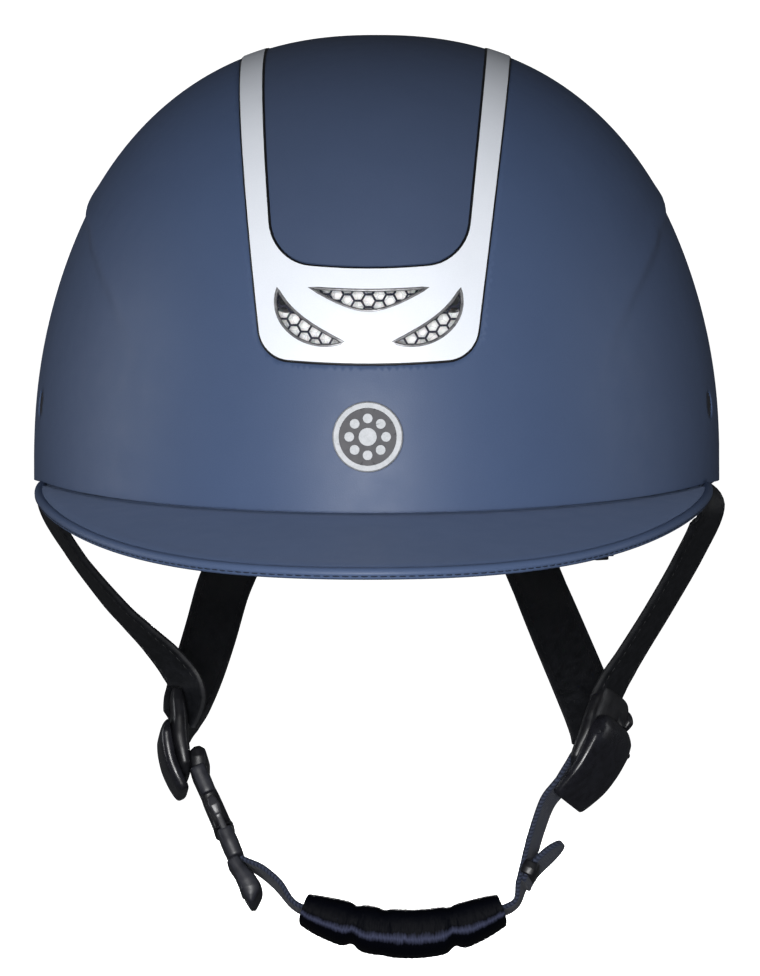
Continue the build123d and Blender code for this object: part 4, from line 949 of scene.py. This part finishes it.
for node, stations in STRAPS.items():
    made, rings = strap(node + "_leather", stations, 16.5, 2.0, STRAP, None, 10, 0.12, 0.16)
    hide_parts(node)
    runs = []
    for side in (-STITCH_INSET, STITCH_INSET):
        for face in (-1, 1):
            run = []
            for centre, lateral, out, _ in rings[8:-14]:
                run.append((centre + lateral * side + out * (face * STITCH_LIFT), out * face))
            runs.append(run)
    sewn = stitches(node + "_stitching", runs, 2.1, 0.8, 0.17, BLACK_THREAD, None)
    for soft in (made, sewn):
        if node.startswith("front"):
            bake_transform(soft)
        else:
            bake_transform(soft)

# ---------------------------------------------------------------- hard fittings
def leaf(name, frame, spine, body, material, soft=0.6, sides=28):
    """A moulded fitting: rounded sections along a curved spine of (out, up, half width, thickness)."""
    points = [Vector((out, up)) for out, up, half, thick in spine]
    steps, rings = 7, []
    for index in range(len(spine) - 1):
        low, high = max(index - 1, 0), min(index + 2, len(spine) - 1)
        for step in range(steps if index < len(spine) - 2 else steps + 1):
            share = step / steps
            flat = between(*(points[i].to_3d() for i in (low, index, index + 1, high)), share)
            half = spine[index][2] * (1 - share) + spine[index + 1][2] * share
            thick = spine[index][3] * (1 - share) + spine[index + 1][3] * share
            rings.append((flat.to_2d(), half, thick))
    verts = []
    for row, (point, half, thick) in enumerate(rings):
        along = (rings[min(row + 1, len(rings) - 1)][0] - rings[max(row - 1, 0)][0]).normalized()
        face = Vector((along.y, -along.x))
        for turn in range(sides):
            angle = 2 * math.pi * turn / sides
            c, t = math.cos(angle), math.sin(angle)
            lift = thick / 2 * squared(t, soft)
            verts.append(frame.at(point.x + face.x * lift, half * squared(c, 0.45), point.y + face.y * lift))
    faces = tube_faces(len(rings) - 1, sides) + end_caps(len(rings) - 1, sides)
    return outward(piece(name, verts, faces, material, body, angle=60.0))


LEVER_SPINES = {
    "right": (
        (3.4, 3.4, 10.0, 0.8),
        (3.9, 2.0, 12.4, 2.6),
        (4.3, -0.6, 12.9, 4.0),
        (4.2, -4.0, 12.6, 4.4),
        (3.6, -8.5, 12.0, 4.4),
        (2.4, -12.5, 11.6, 4.2),
        (1.2, -15.4, 10.8, 4.0),
        (0.5, -16.9, 10.2, 3.4),
        (0.3, -17.4, 9.4, 2.4),
    ),
    "left": (
        (2.4, 4.9, 6.0, 1.2),
        (2.8, 3.8, 9.6, 4.0),
        (3.3, 1.2, 11.6, 6.0),
        (3.2, -2.5, 12.4, 6.2),
        (2.6, -8.0, 12.2, 5.2),
        (1.2, -13.5, 11.6, 4.4),
        (-1.0, -18.0, 10.8, 4.0),
        (-2.5, -20.8, 10.0, 3.6),
        (-3.0, -21.8, 9.2, 2.6),
    ),
}
BODY_SPINE = (
    (-0.2, 13.2, 6.5, 1.4),
    (-0.1, 12.2, 9.6, 3.2),
    (0.0, 9.0, 11.6, 4.6),
    (0.0, 4.0, 12.4, 5.0),
    (0.4, -1.5, 12.5, 5.6),
    (0.0, -6.0, 12.3, 4.8),
    (-0.4, -10.0, 11.6, 4.0),
    (-0.6, -12.2, 9.4, 2.6),
    (-0.6, -13.0, 6.5, 1.2),
)
EAR_SPINE = (
    (2.0, 3.4, 0.6, 0.8),
    (2.4, 2.4, 1.3, 2.6),
    (3.0, 0.4, 1.5, 4.0),
    (2.6, -1.8, 1.3, 2.8),
    (2.0, -3.4, 0.6, 0.8),
)
for side, frame_at in (("left", LEFT), ("right", RIGHT)):
    made = leaf(f"adjuster_body_{side}_moulded", frame_at, BODY_SPINE, "harness", NYLON)
    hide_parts(f"adjuster_body_{side}")
    if side == "left":
        shifted = Local(frame_at.at(-1.9, 11.0, 7.6), frame_at.out, frame_at.up)
        leaf("adjuster_ear", shifted, EAR_SPINE, "harness", NYLON)
    made = leaf(f"cam_lever_{side}_moulded", frame_at, LEVER_SPINES[side], f"lever_{side}", LEVER_NYLON)
    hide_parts(f"cam_lever_{side}")
for node in ("lever_pin_left", "lever_pin_right"):
    dress(node, LEVER_NYLON, 0.2)

SOCKET_PARTS = {
    "collar": (
        (-2.2, -5.6, 9.5, 2.0),
        (-2.0, -4.6, 11.2, 4.6),
        (-1.4, -2.5, 11.6, 5.4),
        (-0.6, -0.2, 11.4, 5.0),
        (-0.2, 1.0, 11.2, 4.0),
    ),
    "crown": (
        (0.0, -0.3, 11.0, 3.2),
        (0.0, 0.1, 12.2, 4.6),
        (0.0, 1.0, 12.6, 5.2),
        (0.0, 7.6, 12.6, 4.9),
        (0.0, 8.5, 12.2, 4.4),
        (0.0, 8.8, 11.0, 3.4),
    ),
    "core": (
        (0.0, 7.5, 10.6, 5.0),
        (0.0, 10.0, 10.4, 5.4),
        (0.0, 17.0, 10.6, 5.6),
        (0.0, 18.9, 11.6, 6.2),
        (0.0, 19.4, 11.2, 5.4),
    ),
}
PLUG_PARTS = {
    "block": (
        (0.0, 19.9, 11.4, 4.0),
        (0.0, 20.3, 12.4, 5.0),
        (0.0, 24.0, 12.6, 5.2),
        (0.0, 28.3, 12.4, 4.8),
        (0.0, 28.8, 11.2, 3.6),
    ),
    "tab": (
        (1.4, 28.2, 9.5, 2.6),
        (1.2, 28.9, 10.4, 4.2),
        (0.6, 32.0, 10.8, 4.2),
        (-0.1, 36.0, 11.2, 5.8),
        (-0.2, 38.6, 11.2, 6.4),
        (0.5, 40.6, 10.8, 4.4),
        (1.3, 42.6, 10.0, 1.6),
    ),
}
PRONG_SPINE = (
    (0.0, 9.7, 0.5, 0.6),
    (0.0, 10.4, 1.3, 2.2),
    (0.0, 12.8, 1.8, 3.4),
    (0.0, 15.2, 1.3, 2.4),
    (0.0, 16.4, 0.9, 2.0),
    (0.0, 21.5, 0.9, 2.0),
)
KEEPER_SPINE = (
    (0.0, -2.1, 7.8, 3.6),
    (0.0, -1.8, 8.6, 5.0),
    (0.0, 0.0, 8.8, 5.4),
    (0.0, 1.8, 8.6, 5.0),
    (0.0, 2.1, 7.8, 3.6),
)
HALVES = (("socket", SOCKET_PARTS, "harness"), ("plug", PLUG_PARTS, "chin_strap"))
for group, parts, body in HALVES:
    for index, (part, spine) in enumerate(parts.items()):
        nylon = BUCKLE_NYLON if part in ("crown", "block", "tab") else NYLON
        made = leaf(f"buckle_{group}_{part}", BUCKLE, spine, body, nylon, 0.32)
        if not index:
            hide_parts(f"buckle_{group}")
for end, aside, body in (("front", -11.4, "prong_front"), ("rear", 11.4, "prong_rear")):
    shifted = Local(BUCKLE.at(0, aside, 0), BUCKLE.out, BUCKLE.up)
    made = leaf(f"buckle_prong_{end}_moulded", shifted, PRONG_SPINE, body, PRONG_NYLON)
    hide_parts(f"buckle_prong_{end}")
KEEPER_FRAME = Local(chin(44.6, -41.4), SIDE * 0.907 - UP * 0.42, SIDE * 0.42 + UP * 0.907)
made = leaf("keeper_ring_moulded", KEEPER_FRAME, KEEPER_SPINE, "keeper", NYLON, 0.4)
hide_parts("keeper_ring")
for node in ("nape_cradle", "dial_cover"):
    dress(node, NYLON, 0.35, 2)
for side in ("left", "right"):
    dress(f"cradle_hanger_{side}", NYLON, 0.35, 2)
    dress(f"belt_guide_{side}", NYLON, 0.35, 2)
    dress(f"fit_belt_{side}", NYLON, 0.15, 1)
dress("dial_knob", LEVER_NYLON, 0.4, 2)
dress("dial_pinion", NYLON)

# -------------------------------------------------------------------- webbing
SAG_CENTRE, SAG_RADIUS = (8.0, 21.0), 79.0


def sag(angle, radius=SAG_RADIUS):
    swing = math.radians(angle)
    return chin(SAG_CENTRE[0] + radius * math.sin(swing), SAG_CENTRE[1] - radius * math.cos(swing))


loop_stations = [
    (RIGHT.at(0.8, 0, -5.2), RIGHT.along),
    (RIGHT.at(-2.2, 0, -6.9), RIGHT.along),
    (BUCKLE.at(0.5, 0, -3.3), ACROSS),
    (BUCKLE.at(0.5, 0, -1.6), ACROSS),
]
made, _ = strap("socket_strap_weave", loop_stations, 14.0, 1.2, TWILL, "harness", 6, 0.05)
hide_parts("socket_strap")

TURNED = ACROSS - SIDE * 0.14
FACED = ACROSS - SIDE * 0.2 + UP * 0.04
TAIL_TURN = ACROSS - SIDE * 0.09 + UP * 0.11
stations = [(BUCKLE.at(-0.2, 0, 24.0), ACROSS), (BUCKLE.at(-1.0, 0, 28.8), ACROSS)]
stations += [(chin(*at), ACROSS + SIDE * 0.1) for at in ((-33.4, -41.2), (-28.2, -45.6))]
stations += [(sag(angle), ACROSS) for angle in (-23.4, -18, -12, -6, 0, 6, 12, 18, 24)]
stations += [(chin(*at), TURNED) for at in ((42.2, -45.6), (43.6, -40.0))]
stations += [(chin(*at), FACED) for at in ((45.6, -33.5), (47.6, -27.0), (50.0, -20.8), (53.4, -16.4))]
stations += [(LEFT.at(out, 0, up), -LEFT.along) for out, up in ((-3.9, -11.0), (-2.4, -7.6), (0.3, -5.4))]
webbing, _ = strap("chin_webbing_weave", stations, 15.0, 1.5, TWILL, None, 8, 0.05)
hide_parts("chin_webbing")
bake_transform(webbing)

tail = [(43.4, -45.4), (45.2, -41.8), (47.4, -39.2), (50.2, -36.6), (53.0, -34.2), (54.4, -33.0)]
stations = [(chin(*at), TAIL_TURN) for at in tail]
made, rings = strap("webbing_tail_weave", stations, 15.0, 1.7, TWILL, "chin_strap", 6, 0.05)
round_end(made, rings, 7.4)
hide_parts("webbing_tail")

# ------------------------------------------------------------------- chin pad
GATHERS = ((-10.2, 0.55, 1.0), (-4.0, 0.4, 0.15), (10.3, 0.35, 1.05))
PAD_END = 21.2


def gather(angle, top):
    """How far the sleeve is drawn in at an angle, in millimetres."""
    drawn = 0.0
    for centre, above, under in GATHERS:
        drawn += (above if top else under) * 1.5 * bell(angle - centre, 1.25)
    return drawn


def radial_at(angle):
    return SIDE * math.sin(math.radians(angle)) - UP * math.cos(math.radians(angle))


verts, uvs = [], []
rows, around = 120, 44
GIRTH, PAD_LENGTH = 60.0, 58.4
for row in range(rows + 1):
    angle = -PAD_END + 2 * PAD_END * row / rows
    end = 1 - (abs(angle) / PAD_END) ** 6
    centre = sag(angle)
    pinch = 1 - 0.05 * sum(bell(angle - gathered[0], 1.6) for gathered in GATHERS)
    for spot in range(around):
        turn = 2 * math.pi * spot / around
        c, s = math.cos(turn), math.sin(turn)
        wide = 11.6 * squared(c, 0.62) * pinch
        deep = (4.15 + 1.15 * end) * squared(s, 0.72)
        top = s < 0
        flank = abs(s) ** 0.5
        deep -= math.copysign(gather(angle, top) * flank, s)
        deep += 0.5 * end * abs(s) * math.sin(math.radians(angle) * 9 + 0.8)
        if not top:
            deep += 2.7 * s * (1 - (angle / PAD_END) ** 2)
        pucker = 0.05 * math.sin(angle * 5.3 + 3.0 * c) * abs(s)
        verts.append(centre + ACROSS * wide + radial_at(angle) * (deep + pucker))
    if row:
        low, high = (row - 1) * PAD_LENGTH / rows, row * PAD_LENGTH / rows
        for spot in range(around):
            u0, u1 = spot * GIRTH / around, (spot + 1) * GIRTH / around
            uvs.append(((u0, low), (u1, low), (u1, high), (u0, high)))
faces = tube_faces(rows, around)
for start, inward in ((0, 0.35), (rows, -0.35)):
    base = len(verts)
    angle = -PAD_END + 2 * PAD_END * start / rows
    for spot in range(around):
        turn = 2 * math.pi * spot / around
        c, s = math.cos(turn), math.sin(turn)
        inner = ACROSS * (9.6 * squared(c, 0.62)) + radial_at(angle) * (2.2 * squared(s, 0.72))
        verts.append(sag(angle + inward) + inner)
    for spot in range(around):
        after = (spot + 1) % around
        a, b = start * around + spot, start * around + after
        faces.append((a, b, base + after, base + spot))
        uvs.append(((0, 0), (1, 0), (1, 1.5), (0, 1.5)))
pad = outward(piece("chin_pad_satin", verts, faces, SATIN_PAINTED_SHEEN, "chin_pad", uvs, 70.0))
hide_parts("chin_pad_sleeve")
dress("chin_pad_foam", SOFT_FOAM)


# ---------------------------------------------------------------- comfort pads
def puff(soft, pressure, cap, frames=16):
    """Blows the free skin of a sewn pad up as cloth, then keeps the shape."""
    scene = bpy.context.scene
    before = np.zeros(len(soft.data.vertices) * 3)
    soft.data.vertices.foreach_get("co", before)
    cloth = soft.modifiers.new("puff", "CLOTH")
    settings = cloth.settings
    settings.quality = 6
    settings.mass = 0.2
    settings.use_pressure = True
    settings.uniform_pressure_force = pressure
    settings.effector_weights.gravity = 0.0
    settings.tension_stiffness = 8.0
    settings.compression_stiffness = 8.0
    settings.bending_stiffness = 0.3
    settings.vertex_group_mass = "sewn"
    cloth.point_cache.frame_start = 1
    cloth.point_cache.frame_end = frames
    for number in range(1, frames + 1):
        scene.frame_set(number)
    shaped = soft.evaluated_get(bpy.context.evaluated_depsgraph_get())
    after = np.zeros_like(before)
    shaped.data.vertices.foreach_get("co", after)
    soft.modifiers.remove(cloth)
    move = (after - before).reshape(-1, 3)
    far = np.linalg.norm(move, axis=1, keepdims=True)
    move *= np.minimum(1.0, cap * MM / np.maximum(far, 1e-9))
    soft.data.vertices.foreach_set("co", (before.reshape(-1, 3) + move).ravel())
    soft.data.update()
    scene.frame_set(1)


CAVITY = (80.0, 112.0, 100.0, 106.0)


def cavity_point(turn, height, depth):
    """Point on the head cavity's wall at a heading (0 at the front) and height, depth in from it."""
    half, front, back, tall = (c - 0.5 for c in CAVITY)
    level = (1 - (height / tall) ** ROUNDNESS) ** (1 / ROUNDNESS)
    x, y = math.sin(turn), -math.cos(turn)
    reach = front if y < 0 else back
    size = level / math.hypot(x / half, y / reach)
    place = Vector((x * size, WIDEST_Y + y * size, height))
    return place - dome_out(place, half, reach, tall) * depth


def quilt(name, node, grid, closed_u, seams_u):
    """Padded panel: a backing and a face sheet, sewn together round the border and along channels."""
    count_u, count_v = len(grid), len(grid[0])
    verts, faces, held = [], [], []
    for layer in (0, 1):
        for i in range(count_u):
            for j in range(count_v):
                back_point, face_point = grid[i][j]
                at_border = j in (0, count_v - 1) or (not closed_u and i in (0, count_u - 1))
                near_seam = min(abs(i - s) for s in seams_u)
                if layer == 0:
                    verts.append(back_point)
                    held.append(1.0)
                    continue
                edge_u = 9 if closed_u else min(i, count_u - 1 - i)
                edge = min(j, count_v - 1 - j, edge_u)
                lift = 0.30 + 0.70 * (1 - (1 - min(edge / 4.0, 1.0)) ** 2) ** 0.5
                lift = min(lift, 0.5 + 0.5 * min(near_seam / 2.5, 1.0) ** 0.6)
                verts.append(back_point.lerp(face_point, lift))
                held.append(1.0 if at_border or near_seam == 0 else 0.0)
    size = count_u * count_v
    rows = count_u if closed_u else count_u - 1
    for layer in (0, 1):
        for i in range(rows):
            for j in range(count_v - 1):
                a = layer * size + i * count_v + j
                b = layer * size + ((i + 1) % count_u) * count_v + j
                faces.append((a, b, b + 1, a + 1))
    for i in range(rows):
        for j in (0, count_v - 1):
            a, b = i * count_v + j, ((i + 1) % count_u) * count_v + j
            faces.append((a, b, b + size, a + size))
    if not closed_u:
        for i in (0, count_u - 1):
            for j in range(count_v - 1):
                a = i * count_v + j
                faces.append((a, a + 1, a + 1 + size, a + size))
    made = outward(piece(name, verts, faces, LINING, "helmet", angle=80.0))
    group = made.vertex_groups.new(name="sewn")
    for index, weight in enumerate(held):
        group.add([index], weight, "REPLACE")
    puff(made, 4.0, 1.1)
    smoother = made.modifiers.new("round", "SUBSURF")
    smoother.levels = smoother.render_levels = 1
    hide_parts(node)
    return made


grid = []
for i in range(97):
    turn = math.radians(-94 + 188 * i / 96)
    heights = [6.0 + 32.0 * j / 14 for j in range(15)]
    grid.append([(cavity_point(turn, height, 0.3), cavity_point(turn, height, 5.6)) for height in heights])
quilt("headband_pad_knit", "headband_pad", grid, False, (24, 48, 72))

grid = []
for i in range(72):
    turn = 2 * math.pi * i / 72
    row = []
    for j in range(9):
        share = j / 8
        x = (18 + 15 * share) * math.sin(turn)
        y = -(28 + 17 * share) * math.cos(turn)
        back_point, face_point = [], []
        for grow, keep in ((-0.6, back_point), (-5.9, face_point)):
            reach = (CAVITY[1] if y < WIDEST_Y else CAVITY[2]) + grow
            plan = math.hypot(x / (CAVITY[0] + grow), (y - WIDEST_Y) / reach)
            keep.append(Vector((x, y, (CAVITY[3] + grow) * (1 - plan**ROUNDNESS) ** (1 / ROUNDNESS))))
        row.append((back_point[0], face_point[0]))
    grid.append(row)
quilt("crown_pad_knit", "crown_pad", grid, True, (0, 12, 24, 36, 48, 60))

nape_low, nape_high = (corner * 1000 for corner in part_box("nape_pad"))
grid = []
nape_half = nape_high.x
NAPE_Y = 16.0
nape_radius = 73.2
for i in range(33):
    angle = math.radians(-1 + 2 * i / 32) * math.degrees(nape_half / nape_radius) * 0.97
    row = []
    for j in range(11):
        height = nape_low.z + 0.4 + (nape_high.z - nape_low.z - 0.8) * j / 10
        radii = (nape_high.y - NAPE_Y - 0.1, nape_high.y - NAPE_Y - 4.4)
        row.append(tuple(Vector((r * math.sin(angle), NAPE_Y + r * math.cos(angle), height)) for r in radii))
    grid.append(row)
quilt("nape_pad_knit", "nape_pad", grid, False, (8, 16, 24))

# ---------------------------------------------------------------------- studio
floor_z = cad_low.z - 0.16
bpy.ops.mesh.primitive_plane_add(size=14.0, location=(0, 3.0, floor_z))
floor = bpy.context.object
floor.name = "studio_floor"
sweep = Finish("studio_paper", (0.93, 0.93, 0.94), 0.9)
paper = sweep.noise(sweep.place(scale=(1.0, 1.0, 1.0)), 2.0, 2.0)
sweep.color(paper, [(0.3, (0.92, 0.92, 0.93)), (0.7, (0.94, 0.94, 0.95))])
sweep.shader.inputs["Emission Color"].default_value = (1, 1, 1, 1)
sweep.shader.inputs["Emission Strength"].default_value = 1.0
floor.data.materials.append(sweep.material)
upright = (math.radians(90), 0, 0)
bpy.ops.mesh.primitive_plane_add(size=14.0, location=(0, 6.0, floor_z + 3.0), rotation=upright)
wall = bpy.context.object
wall.name = "studio_backdrop"
wall.data.materials.append(sweep.material)
for sheet in (floor, wall):
    sheet.visible_diffuse = False
    sheet.visible_glossy = False

world = bpy.data.worlds.new("studio")
bpy.context.scene.world = world
world.use_nodes = True
sky = world.node_tree.nodes["Background"]
sky.inputs["Color"].default_value = (0.9, 0.94, 1.0, 1)
sky.inputs["Strength"].default_value = 0.05

target = Vector((0.001, 0.0, -0.0035))


def softbox(name, place, size, watts, color=(1, 1, 1)):
    lamp = bpy.data.lights.new(name, "AREA")
    lamp.shape = "RECTANGLE"
    lamp.size, lamp.size_y = size
    lamp.energy = watts
    lamp.color = color
    made = bpy.data.objects.new(name, lamp)
    bpy.context.scene.collection.objects.link(made)
    made.location = place
    made.rotation_euler = (target - Vector(place)).to_track_quat("-Z", "Y").to_euler()


softbox("front_softbox", (-0.06, -2.6, 0.2), (0.95, 0.8), 92.0)
softbox("left_strip", (-2.2, 0.5, 0.15), (0.7, 1.4), 13.0, (0.95, 0.97, 1.0))
softbox("right_strip", (2.2, 0.5, 0.15), (0.7, 1.4), 6.0, (0.95, 0.97, 1.0))
softbox("back_fill", (0.0, 1.3, 0.05), (0.16, 0.16), 5.5)

azimuth, elevation = math.radians(1.0), math.radians(5.0)
level = math.cos(elevation)
back = Vector((math.sin(azimuth) * level, -math.cos(azimuth) * level, math.sin(elevation)))
lens = bpy.data.cameras.new("photo_camera")
lens.lens = 189.8
lens.sensor_width = 36.0
lens.clip_start, lens.clip_end = 0.05, 50.0
camera = bpy.data.objects.new("photo_camera", lens)
bpy.context.scene.collection.objects.link(camera)
camera.location = target + back * 1.5
camera.rotation_euler = (-back).to_track_quat("-Z", "Y").to_euler()
bpy.context.scene.camera = camera
bpy.context.scene.view_settings.view_transform = "Standard"
